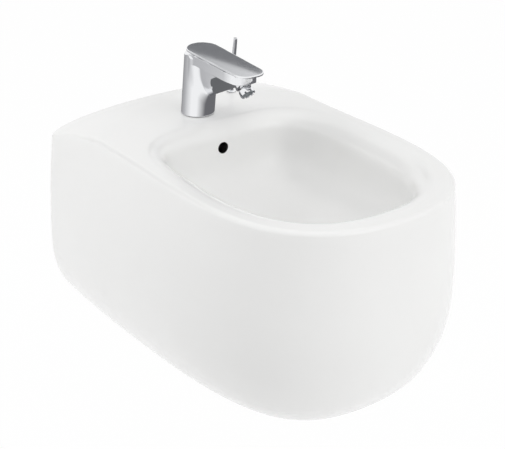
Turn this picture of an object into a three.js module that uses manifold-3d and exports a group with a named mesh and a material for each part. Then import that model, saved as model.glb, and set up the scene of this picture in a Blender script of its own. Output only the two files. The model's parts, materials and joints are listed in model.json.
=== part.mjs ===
// A wall-hung bidet with a single-lever tap and a pop-up waste.
// Millimetres, +Z up. The wall is the plane y = 0, the front of the bidet faces -Y and +X is its
// right seen from the front. The origin lies on the ceramic's wall face, midway between the studs.

import * as THREE from 'three';
import { mergeVertices } from 'three/addons/utils/BufferGeometryUtils.js';
import Module from 'manifold-3d';

const wasm = await Module();
wasm.setup();

// Clearances
const seatGap = 0.3;
const slideGap = 0.5;
const cutOverrun = 6;

// Ceramic: overall size
const bodyWidth = 395;
const bodyDepth = 540;
const bodyHeight = 304;
const deckLevel = 85;

// Ceramic: the plan outline is a superellipse that draws in a little towards the wall
const outlineDepthPower = 5.8;
const outlineWidthPower = 2.24;
const wallDrawIn = 5;
const wallDrawInReach = 183;

// Ceramic: the underside's rounding, at the sides and at the front
const sideRoundingWidth = 101;
const sideRoundingHeight = 116;
const frontRoundingWidth = 101;
const frontRoundingHeight = 167;
const roundingPower = 2.08;

// Ceramic: how far the flanks lean in below the deck
const flankLean = 31;
const frontLean = 1.4;
const wallLean = 15;
const wallLeanReach = 217;

// Ceramic: the crisp edge of the deck opens into a broad shoulder at the wall
const edgeRadius = 6;
const shoulderDrop = 26;
const shoulderReach = 115;
const shoulderPower = 1.53;
const shoulderCrest = 3;

// Ceramic: walls
const skinThickness = 11;
const deckThickness = 14;
const backThickness = 14;
const floorThickness = 12;

// Bowl: its plan is given where the wall starts, below the rolled rim
const bowlHalfWidth = 125;
const bowlBack = 160;
const bowlMiddle = 314;
const bowlFront = 485;
const bowlDepth = 118;
const bowlFrontPower = 2.65;
const bowlBackPower = 4.4;
const bowlSectionPower = 2.5;
const rimRollBack = 24;
const rimRollFront = 33;
const rimRollPower = 2.6;
const drainFromWall = 300;
const drainRecessDepth = 3;
const drainRecessRadius = 33;
const drainHoleRadius = 22.8;
const drainPadRadius = 40;
const drainPadThickness = 20;

// Overflow
const overflowRadius = 8.3;
const overflowDrop = 34;
const overflowChannelRadius = 6.5;
const overflowRibWall = 5.5;

// Wall fixing
const studSpacing = 180;
const studRadius = 6;
const studInWall = 45;
const studHoleRadius = 12;
const studPadRadius = 26;
const studPadThickness = 24;
const sleeveWall = 4.5;
const sleeveFlangeRadius = 17;
const sleeveFlangeThickness = 2.2;
const studWasherRadius = 13.5;
const studWasherThickness = 2;
const studNutAcross = 19;
const studNutThickness = 8.5;
const studTail = 1.5;

// Openings in the ceramic's back and underside
const wallWindowWidth = 124;
const wallWindowTop = -60;
const wallWindowBottom = -166;
const wallWindowCorner = 24;
const hatchWidth = 150;
const hatchBack = 34;
const hatchFront = 346;
const hatchCorner = 40;

// Tap: body and spout
const tapFromWall = 97;
const tapRadius = 23.75;
const tapRake = 0.137;
const tapHoleRadius = 17.5;
const tapTop = 95.2;
const leverSlope = 0.047;
const spoutReach = 131;
const spoutHalfWidthBack = 22.8;
const spoutHalfWidthFront = 20;
const spoutCreaseHeight = 77.6;
const spoutNoseRadius = 14;
const spoutCreaseInset = 3.6;
const keelStart = 62;
const keelStartHeight = 47.5;
const keelSlope = 0.488;
const keelHalfWidth = 6;
const baseGasketThickness = 1;
const baseGasketInner = 18;
const baseGasketOuter = 22.6;

// Tap: cartridge, measured down from the top of the body along the cartridge axis
const cartridgeRadius = 17.6;
const cartridgeDepth = 38;
const cartridgeSealThickness = 1;
const discThickness = 3.4;
const fixedDiscRadius = 14.5;
const movingDiscRadius = 13;
const driverFlangeRadius = 14.4;
const driverFlangeThickness = 10;
const driverNeckRadius = 11;
const driverTop = 4.4;
const housingTop = 14;
const housingWall = 2.4;
const housingRoof = 4.2;
const cartridgeNutThickness = 5.2;
const driverSlotHalfWidth = 4.4;
const driverSlotFront = 7.6;
const driverSlotDepth = 26;
const liftPinBehind = 8;
const liftPinBelow = 7.5;
const liftPinRadius = 1.5;
const liftClearanceAngle = 21.5;
const feedRadius = 3.6;
const feedHalfSpacing = 8;
const spoutPassageRadius = 4.6;

// Tap: lever
const leverWidth = 47;
const leverLength = 128;
const leverBackCentre = 4;
const leverSwing = 45;
const leverThickness = 3.2;
const leverGap = 0.5;
const leverCornerRadius = 12;
const leverNoseBulge = 4;
const leverEdgeRadius = 0.9;
const stemHalfWidth = 4;
const stemFront = 1.5;
const stemBack = 2;
const stemTail = 24;
const leverBossHalfWidth = 7;
const leverBossFront = 9;
const leverBossBack = 6;
const leverBossDepth = 3.6;
const leverScrewRadius = 2;
const leverScrewLength = 4.5;

// Tap: swivel aerator
const ballForward = 111;
const ballHeight = 73;
const aeratorTilt = 48;
const ballRadius = 7;
const ballNeckRadius = 4;
const ballNeckEnd = 9.4;
const ballSeatRadius = 9.6;
const ballSeatBack = 5;
const ballSeatFront = 3;
const socketRadius = 11.4;
const socketBack = 8;
const socketFront = 4.3;
const socketMouthRadius = 8.6;
const socketFloorRadius = 5.8;
const reliefRadius = 13.2;
const aeratorRadius = 10.2;
const aeratorStart = 6.6;
const aeratorShoulder = 9.2;
const aeratorEnd = 17.2;
const aeratorBackRadius = 6.2;
const aeratorWall = 1.7;
const aeratorNotches = 8;
const aeratorNotchWidth = 2.6;
const aeratorNotchDepth = 2.2;
const insertSetBack = 0.8;
const insertHoles = 8;
const insertHoleRadius = 1.2;
const insertHoleCircle = 5;
const insertHoleDepth = 3;

// Tap: fixing under the deck
const tapStudRadius = 4;
const tapStudForward = 11;
const tapStudInBody = 13;
const tapStudBelowDeck = 40;
const horseshoeRadius = 26;
const horseshoeSlotHalfWidth = 13.8;
const horseshoeSlotStart = 5.6;
const horseshoeRubber = 3;
const horseshoeSteel = 2;
const tapNutAcross = 13;
const tapNutThickness = 7;
const tailRadius = 4.9;
const tailBore = 3;
const tailInBody = 11;
const tailBelowDeck = 60;
const tailCollarRadius = 7.4;
const tailCollarTop = 44;
const tailCollarThickness = 8;

// Waste control: the lift rod leans with the tap
const liftRodRight = 87;
const liftRodFromWall = 54;
const liftRodRadius = 2.9;
const liftRodAbove = 85;
const liftRodBelow = 78;
const bushRadius = 5.2;
const bushFlangeRadius = 6.8;
const bushFlangeThickness = 1.6;
const rodHoleRadius = 5.6;
const strapWidth = 12;
const strapThickness = 2;
const strapTop = 62;
const strapBottom = 200;
const strapInset = 21;
const strapScrewRadius = 2;
const strapScrewHeadRadius = 5;
const strapScrewHead = 6;
const strapSlotHalfWidth = 4.8;
const strapSlotHalfHeight = 3.9;

// Waste
const flangeRadius = 32;
const flangeThickness = 2.2;
const flangeSealThickness = 0.8;
const flangeCupRadius = 22;
const flangeCupWall = 1.5;
const flangeCupDepth = 4.4;
const wasteBore = 16.5;
const wasteSleeveWall = 2.1;
const wasteSleeveLength = 21;
const wasteBodyRadius = 21.5;
const wasteBodyLength = 106;
const wasteBodyFootRadius = 19;
const wasteBodyFoot = 12;
const wasteGasketRadius = 34;
const wasteGasketThickness = 7.6;
const wasteNutRadius = 36;
const wasteNutThickness = 8.6;
const overflowSlotHalfWidth = 6;
const overflowSlotHeight = 7;
const pivotLevel = 105;
const pivotFromAxis = 28;
const pivotBallRadius = 7;
const pivotRodRadius = 2.5;
const pivotTip = 3;
const pivotTail = 8;
const portRadius = 12;
const portLength = 35;
const portBore = 8.4;
const portThroat = 6;
const ballWasherThickness = 1.6;
const ballNutRadius = 15;
const ballNutLength = 12;
const ballNutWall = 2.6;
const ballNutHole = 5.6;
const plugRadius = 19.6;
const plugThickness = 2.6;
const plugDome = 2;
const plugLift = 5.1;
const plugStemRadius = 6.4;
const plugEyeRadius = 3.3;
const plugEyeGap = 0.4;
const plugEyeHalfThickness = 1.5;
const plugEyeRise = 5;
const plugStemFoot = 8;
const plugSealRadius = 19;
const plugSealWidth = 1.9;
const plugSealThickness = 1;
const tailpieceRadius = 16;
const tailpieceWall = 1.8;
const tailpieceInBody = 14;
const tailpieceLength = 64;
const tailSealThickness = 2.6;
const tailNutRadius = 24;
const tailNutThickness = 16;
const tailNutLip = 2.4;

// Facets
const fineSides = 36;
const midSides = 18;
const smallSides = 12;
const bowlSides = 36;
const shellSides = 24;
const channelSteps = 10;
const outsideSteps = { outline: 22, rounding: 7, flank: 3, shoulder: 5 };
const insideSteps = { outline: 12, rounding: 3, flank: 2, shoulder: 2 };

// Directions
const tapRakeAngle = Math.atan(tapRake);
const leverSlopeAngle = Math.atan(leverSlope);
const degree = Math.PI / 180;

// Colours and finishes
const finishes = {
  glaze: { color: 0xf2f2f0, roughness: 0.12, metalness: 0 },
  chrome: { color: 0xd6d8da, roughness: 0.08, metalness: 1 },
  steel: { color: 0xa8abad, roughness: 0.35, metalness: 1 },
  brass: { color: 0xb89a5a, roughness: 0.35, metalness: 1 },
  blackRubber: { color: 0x1f1f20, roughness: 0.8, metalness: 0 },
  greyPlastic: { color: 0x8d9296, roughness: 0.5, metalness: 0 },
  whitePlastic: { color: 0xe4e4e1, roughness: 0.45, metalness: 0 },
  discCeramic: { color: 0xe9e6de, roughness: 0.3, metalness: 0 },
};

const part = new THREE.Group();

// Solids

// A closed mesh whose faces point out, whichever way its rings were listed.
function facingOut(geometry) {
  const plain = geometry.clone();
  plain.deleteAttribute('normal');
  plain.deleteAttribute('uv');
  const merged = mergeVertices(plain);
  const place = merged.attributes.position;
  const index = merged.index.array;
  const corner = [new THREE.Vector3(), new THREE.Vector3(), new THREE.Vector3()];
  let sixVolumes = 0;
  for (let i = 0; i < index.length; i += 3) {
    corner.forEach((point, k) => point.fromBufferAttribute(place, index[i + k]));
    sixVolumes += corner[0].dot(corner[1].clone().cross(corner[2]));
  }
  if (sixVolumes < 0) {
    for (let i = 0; i < index.length; i += 3) {
      [index[i + 1], index[i + 2]] = [index[i + 2], index[i + 1]];
    }
  }
  return merged;
}

function solid(geometry) {
  const merged = facingOut(geometry);
  return new wasm.Manifold(new wasm.Mesh({
    numProp: 3,
    vertProperties: merged.attributes.position.array,
    triVerts: new Uint32Array(merged.index.array),
  }));
}

function geometryOf(body) {
  const mesh = body.getMesh();
  const geometry = new THREE.BufferGeometry();
  geometry.setAttribute('position', new THREE.BufferAttribute(mesh.vertProperties, 3));
  geometry.setIndex(new THREE.BufferAttribute(mesh.triVerts, 1));
  return geometry;
}

function joined(first, ...others) {
  return others.reduce((sum, next) => sum.add(next), first);
}

function cut(first, ...others) {
  return others.reduce((rest, next) => rest.subtract(next), first);
}

function add(name, shape, finish, parent = part) {
  const geometry = shape.isBufferGeometry ? facingOut(shape) : geometryOf(shape);
  geometry.computeVertexNormals();
  const mesh = new THREE.Mesh(geometry, new THREE.MeshStandardMaterial(finishes[finish]));
  mesh.name = name;
  parent.add(mesh);
  return mesh;
}

// Closed rings of equal length joined into one skin, each end closed by a fan about its middle.
function loft(rings) {
  const count = rings[0].length;
  const points = rings.flat();
  const faces = [];
  for (let r = 0; r + 1 < rings.length; r += 1) {
    for (let i = 0; i < count; i += 1) {
      const a = r * count + i;
      const b = r * count + (i + 1) % count;
      faces.push(a, b, a + count, b, b + count, a + count);
    }
  }
  [0, rings.length - 1].forEach((r) => {
    const middle = rings[r].reduce((sum, p) => sum.add(p), new THREE.Vector3())
      .divideScalar(count);
    const hub = points.push(middle) - 1;
    for (let i = 0; i < count; i += 1) {
      const a = r * count + i;
      const b = r * count + (i + 1) % count;
      faces.push(...(r === 0 ? [b, a, hub] : [a, b, hub]));
    }
  });
  return new THREE.BufferGeometry().setFromPoints(points).setIndex(faces);
}

// A revolve about +Z. The profile is pairs of radius and height.
function revolve(profile, sides = midSides) {
  const points = profile.map(([radius, height]) => new THREE.Vector2(radius, height));
  return new THREE.LatheGeometry(points, sides).rotateX(Math.PI / 2);
}

function disc(radius, bottom, top, sides = midSides) {
  return revolve([[0, bottom], [radius, bottom], [radius, top], [0, top]], sides);
}

function ring(inner, outer, bottom, top, sides = midSides) {
  const profile = [[inner, bottom], [outer, bottom], [outer, top], [inner, top], [inner, bottom]];
  return revolve(profile, sides);
}

function hexNut(across, bore, bottom, top, sides = smallSides) {
  const hexagon = disc(across / 2 / Math.cos(Math.PI / 6), bottom, top, 6);
  const hole = disc(bore, bottom - cutOverrun, top + cutOverrun, sides);
  return cut(solid(hexagon), solid(hole));
}

// Turns a shape drawn about +Z so that its +Z runs along a direction, and moves it to a place.
function aim(geometry, place, direction) {
  const turn = new THREE.Quaternion().setFromUnitVectors(
    new THREE.Vector3(0, 0, 1),
    direction.clone().normalize(),
  );
  return geometry.clone().applyQuaternion(turn).translate(place.x, place.y, place.z);
}

function rodBetween(radius, from, to, sides = smallSides) {
  const along = to.clone().sub(from);
  return aim(disc(radius, 0, along.length(), sides), from, along);
}

function block(low, high) {
  const size = high.clone().sub(low);
  const middle = high.clone().add(low).divideScalar(2);
  return new THREE.BoxGeometry(size.x, size.y, size.z).translate(middle.x, middle.y, middle.z);
}

function roundedRectangle(low, high, radius) {
  const shape = new THREE.Shape();
  shape.moveTo(low.x + radius, low.y);
  shape.lineTo(high.x - radius, low.y);
  shape.absarc(high.x - radius, low.y + radius, radius, -Math.PI / 2, 0);
  shape.absarc(high.x - radius, high.y - radius, radius, 0, Math.PI / 2);
  shape.absarc(low.x + radius, high.y - radius, radius, Math.PI / 2, Math.PI);
  shape.absarc(low.x + radius, low.y + radius, radius, Math.PI, 1.5 * Math.PI);
  return shape;
}

function slab(shape, bottom, top, curveSegments = 6) {
  const depth = top - bottom;
  return new THREE.ExtrudeGeometry(shape, { depth, bevelEnabled: false, curveSegments })
    .translate(0, 0, bottom);
}

// Ceramic body

const bodyFloor = deckLevel - bodyHeight;

function halfWidthAt(depth) {
  const along = Math.min(depth / bodyDepth, 1) ** outlineDepthPower;
  const full = bodyWidth / 2 * (1 - along) ** (1 / outlineWidthPower);
  const nearWall = Math.max(0, 1 - depth / wallDrawInReach);
  return full - wallDrawIn * nearWall ** 2;
}

// The plan outline from the wall on the right, round the front, to the wall on the left.
function planOutline(steps) {
  const depths = [];
  for (let i = 0; i <= steps; i += 1) {
    depths.push(bodyDepth * Math.sin(Math.PI / 2 * i / steps));
  }
  const right = depths.map((depth) => new THREE.Vector2(halfWidthAt(depth), -depth));
  const left = right.slice(0, -1).reverse().map((p) => new THREE.Vector2(-p.x, p.y));
  const points = [...right, ...left];
  return points.map((point, i) => {
    const before = points[Math.max(i - 1, 0)];
    const after = points[Math.min(i + 1, points.length - 1)];
    const atWall = i === 0 || i === points.length - 1;
    const normal = atWall
      ? new THREE.Vector2(Math.sign(point.x), 0)
      : new THREE.Vector2(before.y - after.y, after.x - before.x).normalize();
    return { point, normal, depth: -point.y };
  });
}

// The section at one place of the outline, as pairs of inset and height, from the underside up.
function skinSection({ point, depth }, steps) {
  const front = Math.min(depth / bodyDepth, 1) ** 2;
  const mix = (side, nose) => side + (nose - side) * front;
  const roundingWidth = mix(sideRoundingWidth, frontRoundingWidth);
  const roundingHeight = mix(sideRoundingHeight, frontRoundingHeight);
  const nearWall = Math.max(0, 1 - depth / wallLeanReach) ** 2;
  const lean = mix(flankLean, frontLean) + (wallLean - flankLean) * nearWall;
  const open = Math.max(0, 1 - depth / shoulderReach) ** shoulderPower;
  const broadest = Math.abs(point.x) - lean - shoulderCrest;
  const shoulderWidth = edgeRadius + (broadest - edgeRadius) * open;
  const shoulderHeight = edgeRadius + (shoulderDrop - edgeRadius) * open;
  const leanAt = (height) => {
    const share = Math.max(0, (height - roundingHeight) / (bodyHeight - roundingHeight));
    return lean * share ** 2;
  };
  const pairs = [];
  for (let i = 0; i <= steps.rounding; i += 1) {
    const turn = Math.PI / 2 * i / steps.rounding;
    const inset = roundingWidth * (1 - Math.sin(turn) ** (2 / roundingPower));
    pairs.push([inset, roundingHeight * (1 - Math.cos(turn) ** (2 / roundingPower))]);
  }
  const flankTop = bodyHeight - shoulderHeight;
  for (let i = 1; i < steps.flank; i += 1) {
    const height = roundingHeight + (flankTop - roundingHeight) * i / steps.flank;
    pairs.push([leanAt(height), height]);
  }
  for (let i = 0; i <= steps.shoulder; i += 1) {
    const turn = Math.PI / 2 * i / steps.shoulder;
    const height = bodyHeight - shoulderHeight * (1 - Math.sin(turn));
    pairs.push([shoulderWidth * (1 - Math.cos(turn)) + leanAt(height), height]);
  }
  return pairs;
}

// The outer skin as a closed solid, or the same skin drawn in for the hollow inside it.
function ceramicSkin(steps, inset = 0, floorInset = 0, deckInset = 0) {
  const stations = planOutline(steps.outline);
  const sections = stations.map((station) => skinSection(station, steps));
  const usableHeight = bodyHeight - floorInset - deckInset;
  const rings = sections[0].map((_, row) => stations.map((station, i) => {
    const [across, height] = sections[i][row];
    const { point, normal } = station;
    return new THREE.Vector3(
      point.x - normal.x * (across + inset),
      Math.min(0, point.y - normal.y * (across + inset)),
      bodyFloor + floorInset + height / bodyHeight * usableHeight,
    );
  }));
  return loft(rings);
}

// The bowl's plan, about its middle
function bowlPlan(angle) {
  const backward = Math.sin(angle) > 0;
  const reach = backward ? bowlMiddle - bowlBack : bowlFront - bowlMiddle;
  const power = backward ? bowlBackPower : bowlFrontPower;
  const across = Math.abs(Math.cos(angle) / bowlHalfWidth) ** power;
  const along = Math.abs(Math.sin(angle) / reach) ** power;
  const radius = (across + along) ** (-1 / power);
  return new THREE.Vector2(radius * Math.cos(angle), radius * Math.sin(angle));
}

function bowlPlanNormal(angle) {
  const nudge = 0.001;
  const along = bowlPlan(angle + nudge).sub(bowlPlan(angle - nudge));
  return new THREE.Vector2(along.y, -along.x).normalize();
}

// The rim rolls over more broadly at the front than at the back.
function rimRoll(angle) {
  const fromFront = Math.max(0, bowlPlan(angle).y + bowlFront - bowlMiddle);
  const share = fromFront / (bowlFront - bowlBack);
  return rimRollFront + (rimRollBack - rimRollFront) * share ** rimRollPower;
}

// A point of the bowl's wall: share runs from 0 under the rim to 1 at the drain, and grow gives
// the outside of the bowl's shell.
function bowlPoint(angle, share, grow) {
  const turn = Math.PI / 2 * share;
  const spread = Math.cos(turn) ** (2 / bowlSectionPower);
  const fall = Math.sin(turn) ** (2 / bowlSectionPower);
  const plan = bowlPlan(angle);
  plan.setLength((plan.length() + grow) * spread);
  const roll = rimRoll(angle);
  const middle = bowlMiddle + (drainFromWall - bowlMiddle) * fall ** 2;
  const depth = roll + (bowlDepth + grow - roll) * fall;
  return new THREE.Vector3(plan.x, plan.y - middle, deckLevel - depth);
}

function bowlRing(share, grow, sides) {
  const points = [];
  for (let i = 0; i < sides; i += 1) {
    points.push(bowlPoint(2 * Math.PI * i / sides, share, grow));
  }
  return points;
}

function bowlRings(grow, steps, sides) {
  const rings = [];
  for (let i = 0; i < steps; i += 1) {
    rings.push(bowlRing(i / steps, grow, sides));
  }
  rings.push(bowlRing(0.985, grow, sides));
  return rings;
}

// A ring outside the bowl's plan at a height, by functions of the direction.
function rimRing(sides, outwardAt, heightAt) {
  const points = [];
  for (let i = 0; i < sides; i += 1) {
    const angle = 2 * Math.PI * i / sides;
    const plan = bowlPlan(angle).addScaledVector(bowlPlanNormal(angle), outwardAt(angle));
    points.push(new THREE.Vector3(plan.x, plan.y - bowlMiddle, heightAt(angle)));
  }
  return points;
}

const aboveDeck = () => deckLevel + cutOverrun;

// The space to cut: the bowl with its rolled rim, open above the deck.
function bowlSpace() {
  const rings = bowlRings(0, 11, bowlSides);
  const rimSteps = 5;
  for (let i = 1; i <= rimSteps; i += 1) {
    const turn = Math.PI / 2 * i / rimSteps;
    rings.unshift(rimRing(
      bowlSides,
      (angle) => rimRoll(angle) * (1 - Math.cos(turn)),
      (angle) => deckLevel - rimRoll(angle) * (1 - Math.sin(turn)),
    ));
  }
  rings.unshift(rimRing(bowlSides, rimRoll, aboveDeck));
  return loft(rings);
}

function bowlShell() {
  const outwardAt = (angle) => rimRoll(angle) + skinThickness / 2;
  const above = rimRing(shellSides, outwardAt, aboveDeck);
  return loft([above, ...bowlRings(skinThickness, 7, shellSides)]);
}

const drainFloor = deckLevel - bowlDepth;
const flangeSeat = drainFloor - drainRecessDepth;
const drainPadBottom = flangeSeat - drainPadThickness;
const drainAxis = new THREE.Vector3(0, -drainFromWall, 0);

function atDrain(geometry) {
  return geometry.clone().translate(drainAxis.x, drainAxis.y, 0);
}

// The overflow's channel runs down behind the bowl's back wall to the side of the drain hole. Its
// rib starts higher than the channel inside it, which closes the channel's top.
function overflowRoute(startDrop) {
  const back = Math.PI / 2;
  const behind = skinThickness + overflowRibWall / 3;
  const shares = [0.12, 0.3, 0.45, 0.6, 0.72, 0.82, 0.9];
  const route = shares.map((share) => bowlPoint(back, share, behind));
  route.unshift(new THREE.Vector3(0, behind - bowlBack, deckLevel - startDrop));
  const end = drainAxis.clone();
  end.y += drainHoleRadius - overflowRibWall;
  end.z = (flangeSeat + drainPadBottom) / 2;
  return new THREE.CatmullRomCurve3([...route, end]);
}

function channelTube(curve, radius) {
  const circle = new THREE.Shape();
  circle.absarc(0, 0, radius, 0, 2 * Math.PI);
  return new THREE.ExtrudeGeometry(circle, {
    steps: channelSteps,
    curveSegments: smallSides / 2,
    bevelEnabled: false,
    extrudePath: curve,
  });
}

const studSides = [['right', 1], ['left', -1]];
const towardsWall = new THREE.Vector3(0, 1, 0);
const towardsFront = new THREE.Vector3(0, -1, 0);
const studPadFace = -studPadThickness;

function makeCeramic() {
  const outside = solid(ceramicSkin(outsideSteps));
  const inside = ceramicSkin(insideSteps, skinThickness, floorThickness, deckThickness);
  const farBack = new THREE.Vector3(bodyWidth, cutOverrun, bodyHeight);
  const farLow = new THREE.Vector3(-bodyWidth, -backThickness, -bodyHeight);
  const ahead = cut(solid(inside), solid(block(farLow, farBack)));

  const drainPad = atDrain(disc(drainPadRadius, drainPadBottom, drainFloor, midSides));
  const ribRadius = overflowChannelRadius + overflowRibWall;
  const rib = channelTube(overflowRoute(overflowDrop / 2), ribRadius);
  const studPads = studSides.map(([, side]) => {
    const from = new THREE.Vector3(side * studSpacing / 2, studPadFace, 0);
    const to = from.clone().setY(0);
    return solid(rodBetween(studPadRadius, from, to, midSides));
  });
  const hollow = cut(ahead, solid(bowlShell()), solid(drainPad), solid(rib), ...studPads);

  const belowPad = atDrain(disc(
    drainPadRadius + cutOverrun, drainPadBottom - 3 * cutOverrun, drainPadBottom,
  ));
  const drainRecess = atDrain(disc(drainRecessRadius, flangeSeat, drainFloor + cutOverrun));
  const drainHole = atDrain(disc(drainHoleRadius, drainPadBottom - cutOverrun, drainFloor));
  const channel = channelTube(overflowRoute(overflowDrop), overflowChannelRadius);
  const overflowLevel = deckLevel - overflowDrop;
  const overflowHole = rodBetween(
    overflowRadius,
    new THREE.Vector3(0, -bowlBack - 3 * cutOverrun, overflowLevel),
    new THREE.Vector3(0, -bowlBack + skinThickness + overflowChannelRadius, overflowLevel),
    midSides,
  );
  const tapHole = disc(tapHoleRadius, deckLevel - 2 * deckThickness, deckLevel + cutOverrun)
    .translate(0, -tapFromWall, 0);
  const rodHole = disc(rodHoleRadius, -2 * deckThickness, cutOverrun, smallSides)
    .rotateX(tapRakeAngle)
    .translate(liftRodRight, -liftRodFromWall, deckLevel);
  const studHoles = studSides.map(([, side]) => {
    const from = new THREE.Vector3(side * studSpacing / 2, studPadFace - cutOverrun, 0);
    const to = from.clone().setY(cutOverrun);
    return solid(rodBetween(studHoleRadius, from, to, midSides));
  });

  const windowShape = roundedRectangle(
    new THREE.Vector2(-wallWindowWidth / 2, wallWindowBottom),
    new THREE.Vector2(wallWindowWidth / 2, wallWindowTop),
    wallWindowCorner,
  );
  const wallWindow = slab(windowShape, -cutOverrun, backThickness + cutOverrun)
    .rotateX(Math.PI / 2);
  const hatchShape = roundedRectangle(
    new THREE.Vector2(-hatchWidth / 2, -hatchFront),
    new THREE.Vector2(hatchWidth / 2, -hatchBack),
    hatchCorner,
  );
  const hatch = slab(hatchShape, bodyFloor - cutOverrun, bodyFloor + 2 * floorThickness);

  return cut(
    outside,
    solid(bowlSpace()),
    hollow,
    solid(belowPad),
    solid(drainRecess),
    solid(drainHole),
    solid(channel),
    solid(overflowHole),
    solid(tapHole),
    solid(rodHole),
    ...studHoles,
    solid(wallWindow),
    solid(hatch),
  );
}

add('ceramic_body', makeCeramic(), 'glaze');

// Wall fixing

const sleeveOuter = studHoleRadius - seatGap;
const sleeveBore = sleeveOuter - sleeveWall;
const flangeStart = -studPadFace + seatGap;
const washerStart = flangeStart + sleeveFlangeThickness + seatGap;
const nutStart = washerStart + studWasherThickness + seatGap;

studSides.forEach(([label, side]) => {
  const x = side * studSpacing / 2;
  const place = (geometry) => aim(geometry, new THREE.Vector3(x, 0, 0), towardsFront);
  const sleeve = revolve([
    [sleeveBore, seatGap],
    [sleeveOuter, seatGap],
    [sleeveOuter, flangeStart],
    [sleeveFlangeRadius, flangeStart],
    [sleeveFlangeRadius, flangeStart + sleeveFlangeThickness],
    [sleeveBore, flangeStart + sleeveFlangeThickness],
    [sleeveBore, seatGap],
  ]);
  const washerEnd = washerStart + studWasherThickness;
  const washer = ring(studRadius + slideGap, studWasherRadius, washerStart, washerEnd);
  const nutEnd = nutStart + studNutThickness;
  const nut = geometryOf(hexNut(studNutAcross, studRadius + seatGap, nutStart, nutEnd));
  const chamfer = studRadius / 6;
  const studEnd = nutEnd + studTail;
  const stud = revolve([
    [0, -studInWall],
    [studRadius - chamfer, -studInWall],
    [studRadius, chamfer - studInWall],
    [studRadius, studEnd - chamfer],
    [studRadius - chamfer, studEnd],
    [0, studEnd],
  ], smallSides);
  add(`stud_sleeve_${label}`, place(sleeve), 'whitePlastic');
  add(`stud_washer_${label}`, place(washer), 'steel');
  add(`stud_nut_${label}`, place(nut), 'steel');
  add(`wall_stud_${label}`, place(stud), 'steel');
});

// Tap, in a frame of its own: its origin is the middle of the base, on the deck

const tap = new THREE.Group();
tap.position.set(0, -tapFromWall, deckLevel);
part.add(tap);

// A place in the tap's middle plane, by its distance forward and its height.
function inTap(forward, height, x = 0) {
  return new THREE.Vector3(x, -forward, height);
}

const tapBase = baseGasketThickness + 2 * seatGap;
const topForward = tapRake * tapTop;
const topCentre = inTap(topForward, tapTop);
const cartridgeAxis = inTap(Math.sin(leverSlopeAngle), Math.cos(leverSlopeAngle));

// Places a shape drawn about the cartridge axis: its z = 0 is the top face of the tap's body.
function onCartridge(geometry) {
  return geometry.clone().rotateX(leverSlopeAngle).translate(topCentre.x, topCentre.y, topCentre.z);
}

function tapColumn() {
  const rings = [tapBase, (tapTop + tapBase) / 2, tapTop + cutOverrun].map((height) => {
    const circle = [];
    for (let i = 0; i < fineSides; i += 1) {
      const turn = 2 * Math.PI * i / fineSides;
      const forward = tapRake * height + tapRadius * Math.sin(turn);
      circle.push(inTap(forward, height, tapRadius * Math.cos(turn)));
    }
    return circle;
  });
  return loft(rings);
}

// One section across the spout: a flat-sided upper part, a crease, and a keeled hull below it.
function spoutSection(forward) {
  const start = tapRadius / 2;
  const share = Math.max(0, (forward - start) / (spoutReach - start));
  const taper = spoutHalfWidthBack + (spoutHalfWidthFront - spoutHalfWidthBack) * share;
  const noseStart = spoutReach - spoutNoseRadius;
  const intoNose = Math.max(0, forward - noseStart);
  const noseFall = spoutNoseRadius - Math.sqrt(Math.max(0, spoutNoseRadius ** 2 - intoNose ** 2));
  const half = taper - noseFall * spoutCreaseInset / spoutNoseRadius * 2;
  const crease = spoutCreaseHeight + noseFall * 0.8;
  const keel = Math.min(crease - spoutCreaseInset, keelStartHeight + keelSlope * (forward - keelStart));
  const top = tapTop + cutOverrun;
  const hullHalf = half - spoutCreaseInset;
  const points = [inTap(forward, top, half), inTap(forward, crease, half)];
  const hullSteps = 5;
  for (let i = 0; i <= hullSteps; i += 1) {
    const turn = Math.PI / 2 * i / hullSteps;
    const x = keelHalfWidth / 2 + (hullHalf - keelHalfWidth / 2) * Math.cos(turn);
    const z = crease - spoutCreaseInset / 3 - (crease - spoutCreaseInset / 3 - keel) * Math.sin(turn);
    points.push(inTap(forward, z, x));
  }
  const mirrored = points.slice().reverse().map((p) => new THREE.Vector3(-p.x, p.y, p.z));
  return [...points, ...mirrored];
}

function spoutBlock() {
  const shares = [0, 0.2, 0.4, 0.6, 0.8, 0.9, 0.94, 0.97, 0.99, 1];
  const start = tapRadius / 2;
  return loft(shares.map((share) => spoutSection(start + (spoutReach - start) * share)));
}

const ballCentre = inTap(ballForward, ballHeight);
const aeratorAngle = aeratorTilt * degree;
const outletDirection = inTap(Math.sin(aeratorAngle), -Math.cos(aeratorAngle));

function onAerator(geometry) {
  return aim(geometry, ballCentre, outletDirection);
}

// What the lever's back edge sweeps as it lifts, at several places of its swing: the space above
// its underside at full lift.
function liftClearances() {
  const reach = 2 * tapRadius;
  const underside = liftPinBelow + leverGap / 2;
  const turns = [-1, -0.5, 0, 0.5, 1].map((share) => share * leverSwing * degree);
  return turns.map((turn) => {
    const space = block(
      new THREE.Vector3(-reach, -reach, underside),
      new THREE.Vector3(reach, reach, underside + reach),
    );
    const tipped = space.rotateX(-liftClearanceAngle * degree);
    const placed = tipped.translate(0, liftPinBehind, -liftPinBelow);
    return solid(onCartridge(placed.rotateZ(turn)));
  });
}

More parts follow.
